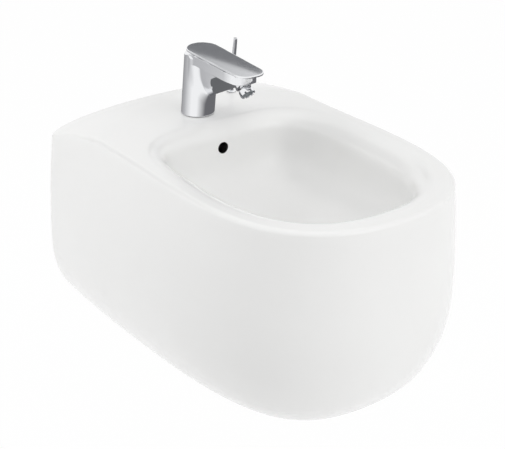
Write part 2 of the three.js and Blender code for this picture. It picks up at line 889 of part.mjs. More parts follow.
function makeMixerBody() {
  const above = block(
    new THREE.Vector3(-spoutReach, -2 * spoutReach, 0),
    new THREE.Vector3(spoutReach, spoutReach, spoutReach),
  );
  const bore = disc(cartridgeRadius + seatGap, -cartridgeDepth, cutOverrun, fineSides);
  const socketBore = disc(socketRadius + seatGap, -socketBack - seatGap, socketFront + cutOverrun);
  const relief = disc(reliefRadius, ballRadius / 4, spoutReach, midSides);
  const seatLevel = tapTop - cartridgeDepth;
  const feeds = [1, -1].map((side) => solid(rodBetween(
    feedRadius,
    inTap(0, tapBase, side * feedHalfSpacing),
    inTap(tapRake * seatLevel + feedRadius / 2, seatLevel + cutOverrun, side * feedHalfSpacing),
  )));
  const tailSockets = [1, -1].map((side) => solid(rodBetween(
    tailRadius + seatGap,
    inTap(0, tapBase - cutOverrun, side * feedHalfSpacing),
    inTap(0, tailInBody + seatGap, side * feedHalfSpacing),
  )));
  const studSocket = rodBetween(
    tapStudRadius + seatGap,
    inTap(tapStudForward, tapBase - cutOverrun),
    inTap(tapStudForward, tapStudInBody + seatGap),
  );
  const behindBall = ballCentre.clone().addScaledVector(outletDirection, -socketBack);
  const passage = rodBetween(
    spoutPassageRadius,
    inTap(topForward, seatLevel + spoutPassageRadius * 1.6),
    behindBall,
  );
  return cut(
    joined(solid(tapColumn()), solid(spoutBlock())),
    solid(onCartridge(above)),
    ...liftClearances(),
    solid(onCartridge(bore)),
    solid(onAerator(socketBore)),
    solid(onAerator(relief)),
    ...feeds,
    ...tailSockets,
    solid(studSocket),
    solid(passage),
  );
}

add('mixer_body', makeMixerBody(), 'chrome', tap);
const gasketTop = tapBase - seatGap;
const baseGasket = ring(baseGasketInner, baseGasketOuter, seatGap, gasketTop);
add('base_gasket', baseGasket, 'blackRubber', tap);

// Cartridge

const sealBottom = seatGap - cartridgeDepth;
const sealTop = sealBottom + cartridgeSealThickness;
const fixedBottom = sealTop + seatGap;
const fixedTop = fixedBottom + discThickness;
const movingBottom = fixedTop + seatGap;
const movingTop = movingBottom + discThickness;
const driverBottom = movingTop + seatGap;
const driverFlangeTop = driverBottom + driverFlangeThickness;

add('cartridge_seal', onCartridge(ring(
  driverNeckRadius / 2, cartridgeRadius - seatGap, sealBottom, sealTop,
)), 'blackRubber', tap);
add('fixed_disc', onCartridge(disc(fixedDiscRadius, fixedBottom, fixedTop)), 'discCeramic', tap);
add('moving_disc', onCartridge(disc(movingDiscRadius, movingBottom, movingTop)), 'discCeramic', tap);

const housingInner = cartridgeRadius - housingWall;
const housingNeck = driverNeckRadius + slideGap;
add('cartridge_housing', onCartridge(revolve([
  [housingInner, fixedBottom],
  [cartridgeRadius, fixedBottom],
  [cartridgeRadius, -housingTop],
  [housingNeck, -housingTop],
  [housingNeck, -housingTop - housingRoof],
  [housingInner, -housingTop - housingRoof],
  [housingInner, fixedBottom],
])), 'greyPlastic', tap);

const nutBottom = seatGap - housingTop;
add('cartridge_nut', onCartridge(ring(
  housingNeck + seatGap, cartridgeRadius, nutBottom, nutBottom + cartridgeNutThickness,
)), 'brass', tap);

const pinAxis = new THREE.Vector3(1, 0, 0);
const pinPlace = new THREE.Vector3(0, liftPinBehind, -liftPinBelow);

function alongPin(radius, halfLength) {
  return aim(disc(radius, -halfLength, halfLength, smallSides), pinPlace, pinAxis);
}

function makeDriver() {
  const turned = revolve([
    [0, driverBottom],
    [driverFlangeRadius, driverBottom],
    [driverFlangeRadius, driverFlangeTop],
    [driverNeckRadius, driverFlangeTop],
    [driverNeckRadius, -driverTop],
    [0, -driverTop],
  ]);
  const slot = block(
    new THREE.Vector3(-driverSlotHalfWidth, -driverSlotFront, -driverSlotDepth),
    new THREE.Vector3(driverSlotHalfWidth, stemBack + slideGap, 0),
  );
  const lugSlot = block(
    new THREE.Vector3(-driverSlotHalfWidth, -driverSlotFront, -2 * liftPinBelow + driverTop - seatGap),
    new THREE.Vector3(driverSlotHalfWidth, driverNeckRadius + cutOverrun, 0),
  );
  const pinHole = alongPin(liftPinRadius + seatGap, driverNeckRadius);
  return cut(solid(turned), solid(slot), solid(lugSlot), solid(pinHole));
}

const pinHalfLength = Math.sqrt(driverNeckRadius ** 2 - (liftPinBehind + liftPinRadius) ** 2);
add('cartridge_driver', onCartridge(geometryOf(makeDriver())), 'greyPlastic', tap);
add('lever_pin', onCartridge(alongPin(liftPinRadius, pinHalfLength)), 'steel', tap);

// The stem's side view: a lug round the pin, and a bar from the moving disc up into the lever.
function makeStem() {
  const lugRadius = 1.75 * liftPinRadius;
  const shape = new THREE.Shape();
  shape.moveTo(-stemFront, -stemTail);
  shape.lineTo(stemBack, -stemTail);
  shape.lineTo(stemBack, -liftPinBelow - lugRadius);
  shape.lineTo(liftPinBehind, -liftPinBelow - lugRadius);
  shape.absarc(liftPinBehind, -liftPinBelow, lugRadius, -Math.PI / 2, Math.PI / 2);
  shape.lineTo(stemBack, -liftPinBelow + lugRadius);
  shape.lineTo(stemBack, leverGap);
  shape.lineTo(-stemFront, leverGap);
  const bar = slab(shape, -stemHalfWidth, stemHalfWidth)
    .applyMatrix4(new THREE.Matrix4().makeBasis(
      new THREE.Vector3(0, 1, 0),
      new THREE.Vector3(0, 0, 1),
      new THREE.Vector3(1, 0, 0),
    ));
  return cut(solid(bar), solid(alongPin(liftPinRadius + seatGap, 2 * stemHalfWidth)));
}

add('lever_stem', onCartridge(geometryOf(makeStem())), 'steel', tap);

// Lever: a flat plate with a round back that matches the body and a blunt nose above the aerator.
function leverOutline(inset) {
  const half = leverWidth / 2 - inset;
  const nose = leverLength - inset;
  const corner = leverCornerRadius - inset;
  const shape = new THREE.Shape();
  shape.absarc(0, -leverBackCentre, half, 0, Math.PI);
  shape.absarc(corner - half, corner - nose, corner, Math.PI, 1.4 * Math.PI);
  shape.quadraticCurveTo(0, -nose - leverNoseBulge, half - corner * 0.69, corner * 0.05 - nose);
  shape.absarc(half - corner, corner - nose, corner, 1.6 * Math.PI, 2 * Math.PI);
  return shape.getPoints(9);
}

function leverRing(inset, height) {
  return leverOutline(inset).map((p) => new THREE.Vector3(p.x, p.y, height));
}

function leverScrewPlace() {
  return new THREE.Vector3(0, leverBossBack, leverGap - leverBossDepth / 2);
}

function makeLever() {
  const bottom = leverGap;
  const top = leverGap + leverThickness;
  const plate = loft([
    leverRing(leverEdgeRadius, bottom),
    leverRing(0, bottom + leverEdgeRadius),
    leverRing(0, top - leverEdgeRadius),
    leverRing(leverEdgeRadius, top),
  ]);
  const boss = block(
    new THREE.Vector3(-leverBossHalfWidth, -leverBossFront, leverGap - leverBossDepth),
    new THREE.Vector3(leverBossHalfWidth, leverBossBack, leverGap + leverThickness / 2),
  );
  const pocket = block(
    new THREE.Vector3(-stemHalfWidth - seatGap, -stemFront - seatGap, -cutOverrun),
    new THREE.Vector3(stemHalfWidth + seatGap, stemBack + seatGap, leverGap + seatGap),
  );
  const screwHole = aim(
    disc(leverScrewRadius / 2 + seatGap, -cutOverrun, cutOverrun, smallSides),
    leverScrewPlace(),
    towardsWall,
  );
  return cut(joined(solid(plate), solid(boss)), solid(pocket), solid(screwHole));
}

const leverShape = makeLever();
add('lever_handle', onCartridge(geometryOf(leverShape)), 'chrome', tap);
const screwEnd = stemBack + seatGap;
const leverScrew = aim(
  disc(leverScrewRadius / 2, 0, leverScrewLength - seatGap, smallSides),
  leverScrewPlace().setY(screwEnd),
  towardsWall,
);
add('lever_screw', onCartridge(leverScrew), 'steel', tap);

// Swivel aerator, drawn about the outlet direction with the ball's centre at zero

function arcProfile(radius, fromHeight, toHeight, steps) {
  const from = Math.asin(fromHeight / radius);
  const to = Math.asin(toHeight / radius);
  const profile = [];
  for (let i = 0; i <= steps; i += 1) {
    const turn = from + (to - from) * i / steps;
    profile.push([radius * Math.cos(turn), radius * Math.sin(turn)]);
  }
  return profile;
}

const seatBore = ballRadius + slideGap;
add('ball_seat', onAerator(revolve([
  ...arcProfile(seatBore, -ballSeatBack, ballSeatFront, 5),
  [ballSeatRadius, ballSeatFront],
  [ballSeatRadius, -ballSeatBack],
  arcProfile(seatBore, -ballSeatBack, ballSeatFront, 5)[0],
])), 'greyPlastic', tap);

const socketInner = ballSeatRadius + seatGap;
add('swivel_socket', onAerator(revolve([
  [socketFloorRadius, -socketBack],
  [socketRadius, -socketBack],
  [socketRadius, socketFront],
  [socketMouthRadius, socketFront],
  [socketMouthRadius, ballSeatFront + seatGap],
  [socketInner, ballSeatFront + seatGap],
  [socketInner, -ballSeatBack - seatGap],
  [socketFloorRadius, -ballSeatBack - seatGap],
  [socketFloorRadius, -socketBack],
])), 'chrome', tap);

const ballBore = ballNeckRadius / 2;
const ballBack = -Math.sqrt(ballRadius ** 2 - ballBore ** 2);
const neckStart = Math.sqrt(ballRadius ** 2 - ballNeckRadius ** 2);
add('swivel_ball', onAerator(revolve([
  ...arcProfile(ballRadius, ballBack, neckStart, 8),
  [ballNeckRadius, ballNeckEnd],
  [ballBore, ballNeckEnd],
  [ballBore, ballBack],
])), 'chrome', tap);

function makeAeratorHousing() {
  const cup = revolve([
    [ballNeckRadius + seatGap, aeratorStart],
    [aeratorBackRadius, aeratorStart],
    [aeratorRadius, aeratorShoulder],
    [aeratorRadius, aeratorEnd],
    [aeratorRadius - aeratorWall, aeratorEnd],
    [aeratorRadius - aeratorWall, aeratorShoulder + seatGap],
    [ballNeckRadius + seatGap, aeratorShoulder - seatGap],
    [ballNeckRadius + seatGap, aeratorStart],
  ]);
  const notches = [];
  const notchFloor = aeratorEnd - aeratorNotchDepth;
  for (let i = 0; i < aeratorNotches; i += 1) {
    const notch = block(
      new THREE.Vector3(aeratorRadius - 2 * aeratorWall, -aeratorNotchWidth / 2, notchFloor),
      new THREE.Vector3(aeratorRadius + cutOverrun, aeratorNotchWidth / 2, aeratorEnd + cutOverrun),
    );
    notches.push(solid(notch.rotateZ(2 * Math.PI * i / aeratorNotches)));
  }
  return cut(solid(cup), ...notches);
}

function makeAeratorInsert() {
  const face = aeratorEnd - insertSetBack;
  const back = ballNeckEnd + seatGap;
  let insert = solid(disc(aeratorRadius - aeratorWall - slideGap, back, face));
  for (let i = 0; i < insertHoles; i += 1) {
    const turn = 2 * Math.PI * i / insertHoles;
    const hole = disc(insertHoleRadius, face - insertHoleDepth, face + cutOverrun, 6)
      .translate(insertHoleCircle * Math.cos(turn), insertHoleCircle * Math.sin(turn), 0);
    insert = cut(insert, solid(hole));
  }
  return insert;
}

add('aerator_housing', onAerator(geometryOf(makeAeratorHousing())), 'chrome', tap);
add('aerator_insert', onAerator(geometryOf(makeAeratorInsert())), 'greyPlastic', tap);

// Tap fixing under the deck

function horseshoe(bottom, top) {
  const plate = disc(horseshoeRadius, bottom, top);
  const slot = block(
    new THREE.Vector3(-horseshoeSlotHalfWidth, -horseshoeSlotStart, bottom - cutOverrun),
    new THREE.Vector3(horseshoeSlotHalfWidth, horseshoeRadius + cutOverrun, top + cutOverrun),
  );
  const hole = disc(tapStudRadius + slideGap, bottom - cutOverrun, top + cutOverrun, smallSides)
    .translate(0, -tapStudForward, 0);
  return cut(solid(plate), solid(slot), solid(hole));
}

const rubberTop = -deckThickness - seatGap;
const steelTop = rubberTop - horseshoeRubber - seatGap;
const tapNutTop = steelTop - horseshoeSteel - seatGap;
add('tap_rubber_horseshoe', horseshoe(rubberTop - horseshoeRubber, rubberTop), 'blackRubber', tap);
add('tap_steel_horseshoe', horseshoe(steelTop - horseshoeSteel, steelTop), 'steel', tap);
const tapNut = geometryOf(hexNut(
  tapNutAcross, tapStudRadius + seatGap, tapNutTop - tapNutThickness, tapNutTop,
)).translate(0, -tapStudForward, 0);
add('tap_fixing_nut', tapNut, 'brass', tap);
const tapStud = rodBetween(
  tapStudRadius,
  inTap(tapStudForward, -tapStudBelowDeck),
  inTap(tapStudForward, tapStudInBody),
);
add('tap_fixing_stud', tapStud, 'steel', tap);

[['hot', -1], ['cold', 1]].forEach(([label, side]) => {
  const tail = revolve([
    [tailBore, -tailBelowDeck],
    [tailRadius, -tailBelowDeck],
    [tailRadius, -tailCollarTop - tailCollarThickness],
    [tailCollarRadius, -tailCollarTop - tailCollarThickness],
    [tailCollarRadius, -tailCollarTop],
    [tailRadius, -tailCollarTop],
    [tailRadius, tailInBody],
    [tailBore, tailInBody],
    [tailBore, -tailBelowDeck],
  ], smallSides).translate(side * feedHalfSpacing, 0, 0);
  add(`${label}_inlet_tail`, tail, 'steel', tap);
});

// Waste control: the lift rod's frame leans with the tap, and its origin is where the rod
// passes the deck

const liftFrame = new THREE.Group();
liftFrame.position.set(liftRodRight, -liftRodFromWall, deckLevel);
liftFrame.rotation.x = tapRakeAngle;
part.add(liftFrame);

const rodChamfer = liftRodRadius / 8;
const liftRod = revolve([
  [0, -liftRodBelow],
  [liftRodRadius, -liftRodBelow],
  [liftRodRadius, liftRodAbove - rodChamfer],
  [liftRodRadius - rodChamfer, liftRodAbove],
  [0, liftRodAbove],
]);
const bush = revolve([
  [liftRodRadius + seatGap, -deckThickness],
  [bushRadius, -deckThickness],
  [bushRadius, bushFlangeThickness],
  [bushFlangeRadius, bushFlangeThickness],
  [bushFlangeRadius, 1.4 * bushFlangeThickness],
  [liftRodRadius + seatGap, 1.9 * bushFlangeThickness],
  [liftRodRadius + seatGap, -deckThickness],
]);

// The strap hangs in front of the rod and slants inwards to meet the pivot rod.
const strapBack = liftRodRadius + seatGap;

function makeStrap() {
  const shape = new THREE.Shape();
  const half = strapWidth / 2;
  shape.moveTo(-half, -strapTop);
  shape.lineTo(-half - strapInset, -strapBottom);
  shape.lineTo(half - strapInset, -strapBottom);
  shape.lineTo(half, -strapTop);
  const bar = slab(shape, strapBack, strapBack + strapThickness).rotateX(Math.PI / 2);
  const screwHole = aim(
    disc(strapScrewRadius + seatGap, 0, strapThickness + 2 * cutOverrun, smallSides),
    new THREE.Vector3(0, 0, -strapScrewLevel),
    towardsFront,
  );
  return cut(solid(bar), solid(screwHole));
}

const strapScrewLevel = (strapTop + liftRodBelow) / 2 - strapScrewHeadRadius / 2;

function makeLiftRod() {
  const screwHole = aim(
    disc(strapScrewRadius + seatGap, 0, 2 * liftRodRadius, smallSides),
    new THREE.Vector3(0, liftRodRadius / 2, -strapScrewLevel),
    towardsFront,
  );
  return cut(solid(liftRod), solid(screwHole));
}

// The pivot rod runs from the waste towards the strap's foot.
const strapEye = liftFrame.position.clone().add(
  new THREE.Vector3(0, -strapBack - strapThickness / 2, 0).applyAxisAngle(pinAxis, tapRakeAngle),
);
const pivotHeight = -pivotLevel;
const eyeDrop = (strapEye.z - pivotHeight) / Math.cos(tapRakeAngle);
strapEye.add(new THREE.Vector3(0, Math.sin(tapRakeAngle), -Math.cos(tapRakeAngle)).multiplyScalar(eyeDrop));
const strapTilt = Math.atan2(strapInset, strapBottom - strapTop);
const eyeInset = Math.tan(strapTilt) * (eyeDrop - strapTop);
strapEye.x = liftRodRight - eyeInset;
const drainAtPivot = drainAxis.clone().setZ(pivotHeight);
const pivotDirection = strapEye.clone().sub(drainAtPivot).normalize();
const pivotCentre = drainAtPivot.clone().addScaledVector(pivotDirection, pivotFromAxis);
const pivotArm = strapEye.distanceTo(pivotCentre);

function makeStrapWithSlot() {
  const slot = block(
    new THREE.Vector3(-strapSlotHalfWidth, -2 * cutOverrun, -strapSlotHalfHeight),
    new THREE.Vector3(strapSlotHalfWidth, cutOverrun, strapSlotHalfHeight),
  ).translate(-eyeInset, 0, -eyeDrop);
  return cut(makeStrap(), solid(slot));
}

add('lift_rod', geometryOf(makeLiftRod()), 'chrome', liftFrame);
add('deck_bush', bush, 'chrome', liftFrame);
add('lift_strap', geometryOf(makeStrapWithSlot()), 'steel', liftFrame);
const strapScrew = aim(revolve([
  [0, 0],
  [strapScrewRadius, 0],
  [strapScrewRadius, strapBack + strapThickness + seatGap],
  [strapScrewHeadRadius, strapBack + strapThickness + seatGap],
  [strapScrewHeadRadius, strapBack + strapThickness + seatGap + strapScrewHead],
  [0, strapBack + strapThickness + seatGap + strapScrewHead],
], smallSides), new THREE.Vector3(0, 0, -strapScrewLevel), towardsFront);
add('strap_screw', strapScrew, 'brass', liftFrame);

// Waste: the flange and what hangs below it, drawn about the drain axis

const sealTopLevel = flangeSeat + seatGap + flangeSealThickness;
const flangeUnder = sealTopLevel + seatGap;
const flangeTop = flangeUnder + flangeThickness;
const cupFloor = flangeUnder - flangeCupDepth;
const plugSeat = cupFloor + flangeCupWall;
const sleeveRadius = wasteBore + wasteSleeveWall;
const sleeveBottom = cupFloor - wasteSleeveLength;
const bodyTop = cupFloor - seatGap;
const bodyBottom = bodyTop - wasteBodyLength;
const slotMiddle = (flangeSeat + drainPadBottom) / 2;

function overflowSlot() {
  return atDrain(block(
    new THREE.Vector3(-overflowSlotHalfWidth, 0, slotMiddle - overflowSlotHeight / 2),
    new THREE.Vector3(overflowSlotHalfWidth, 2 * drainHoleRadius, slotMiddle + overflowSlotHeight / 2),
  ));
}

add('flange_seal', atDrain(ring(
  drainHoleRadius + seatGap, flangeRadius - seatGap, flangeSeat + seatGap, sealTopLevel,
)), 'blackRubber');

const flangeLip = flangeThickness / 2;
const flange = revolve([
  [wasteBore, plugSeat],
  [flangeCupRadius - flangeCupWall, plugSeat],
  [flangeCupRadius - flangeCupWall / 2, flangeTop],
  [flangeRadius - flangeLip, flangeTop],
  [flangeRadius, flangeTop - flangeLip],
  [flangeRadius, flangeUnder],
  [flangeCupRadius, flangeUnder],
  [flangeCupRadius, cupFloor],
  [sleeveRadius, cupFloor],
  [sleeveRadius, sleeveBottom],
  [wasteBore, sleeveBottom],
  [wasteBore, plugSeat],
], fineSides);
add('waste_flange', cut(solid(atDrain(flange)), solid(overflowSlot())), 'chrome');

const portAlong = (distance) => drainAtPivot.clone().addScaledVector(pivotDirection, distance);

function makeWasteBody() {
  const tube = disc(wasteBodyRadius, bodyBottom, bodyTop, midSides);
  const foot = disc(wasteBodyFootRadius, bodyBottom - wasteBodyFoot, bodyBottom + cutOverrun);
  const port = rodBetween(portRadius, portAlong(wasteBore), portAlong(portLength), midSides);
  const bore = disc(wasteBore, bodyBottom - wasteBodyFoot - cutOverrun, bodyTop + cutOverrun);
  const counterbore = disc(sleeveRadius + slideGap, sleeveBottom - seatGap, bodyTop + cutOverrun);
  const portHole = rodBetween(
    portBore, portAlong(pivotFromAxis - portThroat), portAlong(portLength + cutOverrun), midSides,
  );
  const throat = rodBetween(
    portThroat, portAlong(wasteBore / 2), portAlong(portLength), smallSides,
  );
  return cut(
    joined(solid(atDrain(tube)), solid(atDrain(foot)), solid(port)),
    solid(atDrain(bore)),
    solid(atDrain(counterbore)),
    solid(portHole),
    solid(throat),
    solid(overflowSlot()),
  );
}

add('waste_body', makeWasteBody(), 'brass');

const gasketLevel = drainPadBottom - seatGap;
const gasketBottom = gasketLevel - wasteGasketThickness;
add('waste_gasket', atDrain(revolve([
  [wasteBodyRadius + seatGap, gasketBottom],
  [wasteGasketRadius, gasketBottom],
  [wasteGasketRadius, (gasketLevel + gasketBottom) / 2],
  [wasteGasketRadius - wasteGasketThickness / 2, gasketLevel],
  [wasteBodyRadius + seatGap, gasketLevel],
  [wasteBodyRadius + seatGap, gasketBottom],
])), 'blackRubber');

const wasteNutTop = gasketBottom - seatGap;
const wasteNutBottom = wasteNutTop - wasteNutThickness;
const wasteNut = hexNut(
  2 * wasteNutRadius * Math.cos(Math.PI / 6),
  wasteBodyRadius + slideGap,
  wasteNutBottom,
  wasteNutTop,
  midSides,
);
add('waste_nut', atDrain(geometryOf(wasteNut)), 'brass');

// The pivot rod rocks on its ball, held in the waste's side port by a washer and a nut.
const pivotTurn = new THREE.Quaternion().setFromUnitVectors(
  new THREE.Vector3(0, 0, 1),
  pivotDirection,
);

function onPivot(geometry) {
  return geometry.clone().applyQuaternion(pivotTurn)
    .translate(pivotCentre.x, pivotCentre.y, pivotCentre.z);
}

const ballShoulder = Math.sqrt(pivotBallRadius ** 2 - pivotRodRadius ** 2);
add('pivot_rod', onPivot(revolve([
  [0, -pivotFromAxis - pivotTip],
  [pivotRodRadius, -pivotFromAxis - pivotTip],
  ...arcProfile(pivotBallRadius, -ballShoulder, ballShoulder, 8),
  [pivotRodRadius, pivotArm + pivotTail],
  [0, pivotArm + pivotTail],
], smallSides)), 'steel');

const portEnd = portLength - pivotFromAxis;
const washerTop = portEnd - seatGap;
const washerBottom = portEnd - 2 * ballWasherThickness;
const washerBoreTop = washerTop - ballWasherThickness / 2;
const washerBore = arcProfile(pivotBallRadius + slideGap, washerBottom, washerBoreTop, 2);
add('ball_washer', onPivot(revolve([
  ...washerBore,
  [washerBore.at(-1)[0], washerTop],
  [portBore - seatGap, washerTop],
  [portBore - seatGap, washerBottom],
  washerBore[0],
])), 'whitePlastic');
add('ball_nut', onPivot(revolve([
  [portRadius + seatGap, portEnd + seatGap - ballNutLength / 2],
  [ballNutRadius, portEnd + seatGap - ballNutLength / 2],
  [ballNutRadius, portEnd + ballNutLength / 2],
  [ballNutHole, portEnd + ballNutLength / 2],
  [ballNutHole, portEnd + seatGap],
  [portRadius + seatGap, portEnd + seatGap],
  [portRadius + seatGap, portEnd + seatGap - ballNutLength / 2],
])), 'greyPlastic');

// Plug, open at rest: it stands above its seat by its whole lift
const plugBottom = plugSeat + plugSealThickness + seatGap + plugLift;

function makePlug() {
  const stemBottom = pivotHeight - plugStemFoot;
  const turned = revolve([
    [0, stemBottom],
    [plugStemRadius, stemBottom],
    [plugStemRadius, plugBottom - plugThickness],
    [plugRadius - plugSealWidth - plugSealThickness, plugBottom - plugSealThickness],
    [plugRadius - plugSealWidth - plugSealThickness, plugBottom],
    [plugRadius, plugBottom],
    [plugRadius, plugBottom + plugThickness / 2],
    [plugRadius * 0.8, plugBottom + plugThickness],
    [plugRadius * 0.4, plugBottom + plugThickness + plugDome * 0.8],
    [0, plugBottom + plugThickness + plugDome],
  ]);
  // The stem ends in a thin tongue whose eye rests on the pivot rod.
  const eyeDropBelowRod = plugEyeRadius - pivotRodRadius - plugEyeGap;
  const eye = rodBetween(plugEyeRadius, portAlong(-wasteBore), portAlong(wasteBore), midSides)
    .translate(0, 0, -eyeDropBelowRod);
  const flats = [1, -1].map((side) => {
    const away = new THREE.Vector3(0, side * (plugEyeHalfThickness + plugStemRadius), 0);
    const low = new THREE.Vector3(-plugStemRadius, -plugStemRadius, -plugStemFoot - cutOverrun);
    const high = new THREE.Vector3(plugStemRadius, plugStemRadius, plugEyeRise);
    const flat = block(low.add(away), high.add(away));
    const turn = Math.atan2(-pivotDirection.x, pivotDirection.y);
    return solid(flat.rotateZ(turn).translate(drainAtPivot.x, drainAtPivot.y, pivotHeight));
  });
  return cut(solid(atDrain(turned)), solid(eye), ...flats);
}

add('plug', makePlug(), 'chrome');
const plugSealInner = plugRadius - plugSealWidth - plugSealThickness + seatGap;
add('plug_seal', atDrain(ring(
  plugSealInner, plugSealRadius, plugBottom - seatGap - plugSealThickness, plugBottom - seatGap,
)), 'blackRubber');

// Tailpiece
const footBottom = bodyBottom - wasteBodyFoot;
const tailpieceTop = footBottom + tailpieceInBody;
add('tailpiece', atDrain(ring(
  tailpieceRadius - tailpieceWall, tailpieceRadius, tailpieceTop - tailpieceLength, tailpieceTop,
)), 'chrome');
const tailSealTop = footBottom - seatGap;
add('tailpiece_seal', atDrain(ring(
  tailpieceRadius + seatGap, wasteBodyFootRadius - seatGap, tailSealTop - tailSealThickness, tailSealTop,
)), 'blackRubber');
const tailNutLow = tailSealTop - tailSealThickness - seatGap;
add('tailpiece_nut', atDrain(revolve([
  [tailpieceRadius + seatGap, tailNutLow - tailNutLip],
  [tailNutRadius, tailNutLow - tailNutLip],
  [tailNutRadius, tailNutLow - tailNutLip + tailNutThickness],
  [wasteBodyFootRadius + seatGap, tailNutLow - tailNutLip + tailNutThickness],
  [wasteBodyFootRadius + seatGap, tailNutLow],
  [tailpieceRadius + seatGap, tailNutLow],
  [tailpieceRadius + seatGap, tailNutLow - tailNutLip],
])), 'brass');

export default part;
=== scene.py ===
"""Looks for a wall-hung bidet: glazed ceramic, chrome tap and fittings, studio and camera.

Lengths in the classes are millimetres in the part's frame: +Z up, the wall at y = 0, the front of
the bidet towards -Y and +X its right. Meshes are turned to metres where they are made.
"""

from __future__ import annotations

import json
import logging
import math
from dataclasses import dataclass, field
from enum import Enum
from typing import Callable, Sequence

import bpy
import numpy as np
from mathutils import Matrix, Vector

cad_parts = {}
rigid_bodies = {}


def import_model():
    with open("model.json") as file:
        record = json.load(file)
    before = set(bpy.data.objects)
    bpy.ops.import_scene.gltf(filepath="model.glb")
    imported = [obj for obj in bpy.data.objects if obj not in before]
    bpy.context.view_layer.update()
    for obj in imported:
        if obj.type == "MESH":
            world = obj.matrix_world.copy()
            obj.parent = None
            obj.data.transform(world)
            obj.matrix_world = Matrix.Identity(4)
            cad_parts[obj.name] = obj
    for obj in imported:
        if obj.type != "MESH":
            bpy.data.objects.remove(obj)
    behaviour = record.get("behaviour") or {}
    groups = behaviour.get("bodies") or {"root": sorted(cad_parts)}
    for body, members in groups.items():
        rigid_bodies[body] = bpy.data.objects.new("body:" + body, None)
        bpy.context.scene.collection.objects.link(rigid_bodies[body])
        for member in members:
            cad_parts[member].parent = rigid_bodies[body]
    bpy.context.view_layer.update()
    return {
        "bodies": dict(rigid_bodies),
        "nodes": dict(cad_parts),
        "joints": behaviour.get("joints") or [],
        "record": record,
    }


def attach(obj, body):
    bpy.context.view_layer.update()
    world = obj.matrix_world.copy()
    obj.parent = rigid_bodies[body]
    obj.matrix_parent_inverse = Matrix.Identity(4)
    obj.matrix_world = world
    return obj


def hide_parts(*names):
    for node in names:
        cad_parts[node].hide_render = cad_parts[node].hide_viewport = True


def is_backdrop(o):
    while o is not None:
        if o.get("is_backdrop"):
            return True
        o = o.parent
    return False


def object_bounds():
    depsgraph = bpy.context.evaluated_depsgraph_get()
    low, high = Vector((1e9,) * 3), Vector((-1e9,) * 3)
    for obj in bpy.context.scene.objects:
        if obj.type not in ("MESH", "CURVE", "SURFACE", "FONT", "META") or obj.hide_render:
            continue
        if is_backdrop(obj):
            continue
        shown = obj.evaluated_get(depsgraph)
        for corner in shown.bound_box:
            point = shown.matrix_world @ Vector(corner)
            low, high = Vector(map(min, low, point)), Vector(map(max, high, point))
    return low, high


LOG = logging.getLogger("bidet")
METRES = 0.001
# A rounding takes just under half of a short side, and a turned solid ends just off its axis.
SIDE_SHARE = 1 / 2.1
NEAR_AXIS = 0.01
# A field is settled on by a few steps, and its slope is read over this reach in millimetres.
SETTLING_STEPS = 5
SLOPE_REACH = 0.05
LEAST_SLOPE = 0.05
LEAST_LENGTH = 1e-9

Points = np.ndarray
Faces = list[tuple[int, ...]]
Field = Callable[[Points], np.ndarray]
Profile = list[tuple[float, float]]


class Slot(Enum):
    """The record's material slots."""

    GLAZE = "glaze"
    CHROME = "chrome"
    STEEL = "steel"
    BRASS = "brass"
    BLACK_RUBBER = "black_rubber"
    GREY_PLASTIC = "grey_plastic"
    WHITE_PLASTIC = "white_plastic"
    DISC_CERAMIC = "disc_ceramic"


# Materials


def linear(hex_colour: str) -> tuple[float, float, float, float]:
    """Turns an sRGB colour such as "#f0f0ee" to the linear values that Blender wants.

    Args:
        hex_colour: six hex digits after a number sign.

    Returns:
        Linear red, green, blue and an alpha of one.
    """
    parts = [int(hex_colour[i : i + 2], 16) / 255 for i in (1, 3, 5)]
    levels = [c / 12.92 if c <= 0.04045 else ((c + 0.055) / 1.055) ** 2.4 for c in parts]
    return (levels[0], levels[1], levels[2], 1.0)


def add_node(
    tree: bpy.types.NodeTree,
    kind: str,
    settings: dict[str, object] | None = None,
    inputs: dict[str | int, object] | None = None,
) -> bpy.types.Node:
    """Adds one node with its settings, and sets or links its inputs.

    Args:
        tree: the node tree that takes the node.
        kind: the node's type, such as "ShaderNodeBump".
        settings: the node's own attributes by name.
        inputs: an input's name or number, and its value or the socket that feeds it.

    Returns:
        The new node.
    """
    node = tree.nodes.new(kind)
    for name, value in (settings or {}).items():
        setattr(node, name, value)
    for name, value in (inputs or {}).items():
        if isinstance(value, bpy.types.NodeSocket):
            tree.links.new(value, node.inputs[name])
        else:
            node.inputs[name].default_value = value
    return node


def new_material(
    name: str,
) -> tuple[bpy.types.Material, bpy.types.NodeTree, bpy.types.NodeSocket]:
    """Makes a node material that holds only the object's own coordinates.

    Args:
        name: the material's name.

    Returns:
        The material, its node tree and the socket with the coordinates.
    """
    material = bpy.data.materials.new(name)
    material.use_nodes = True
    tree = material.node_tree
    tree.nodes.clear()
    return material, tree, add_node(tree, "ShaderNodeTexCoord").outputs["Object"]


def finish_material(tree: bpy.types.NodeTree, kind: str, inputs: dict[str | int, object]) -> None:
    """Adds the last shader and links it to the material's output.

    Args:
        tree: the material's node tree.
        kind: the shader node's type.
        inputs: what it takes.
    """
    shader = add_node(tree, kind, inputs=inputs)
    add_node(tree, "ShaderNodeOutputMaterial", inputs={"Surface": shader.outputs[0]})


def per_metre(millimetres: float) -> float:
    """Gives the noise scale whose pattern repeats about every so many millimetres."""
    return 1.0 / (millimetres * METRES)


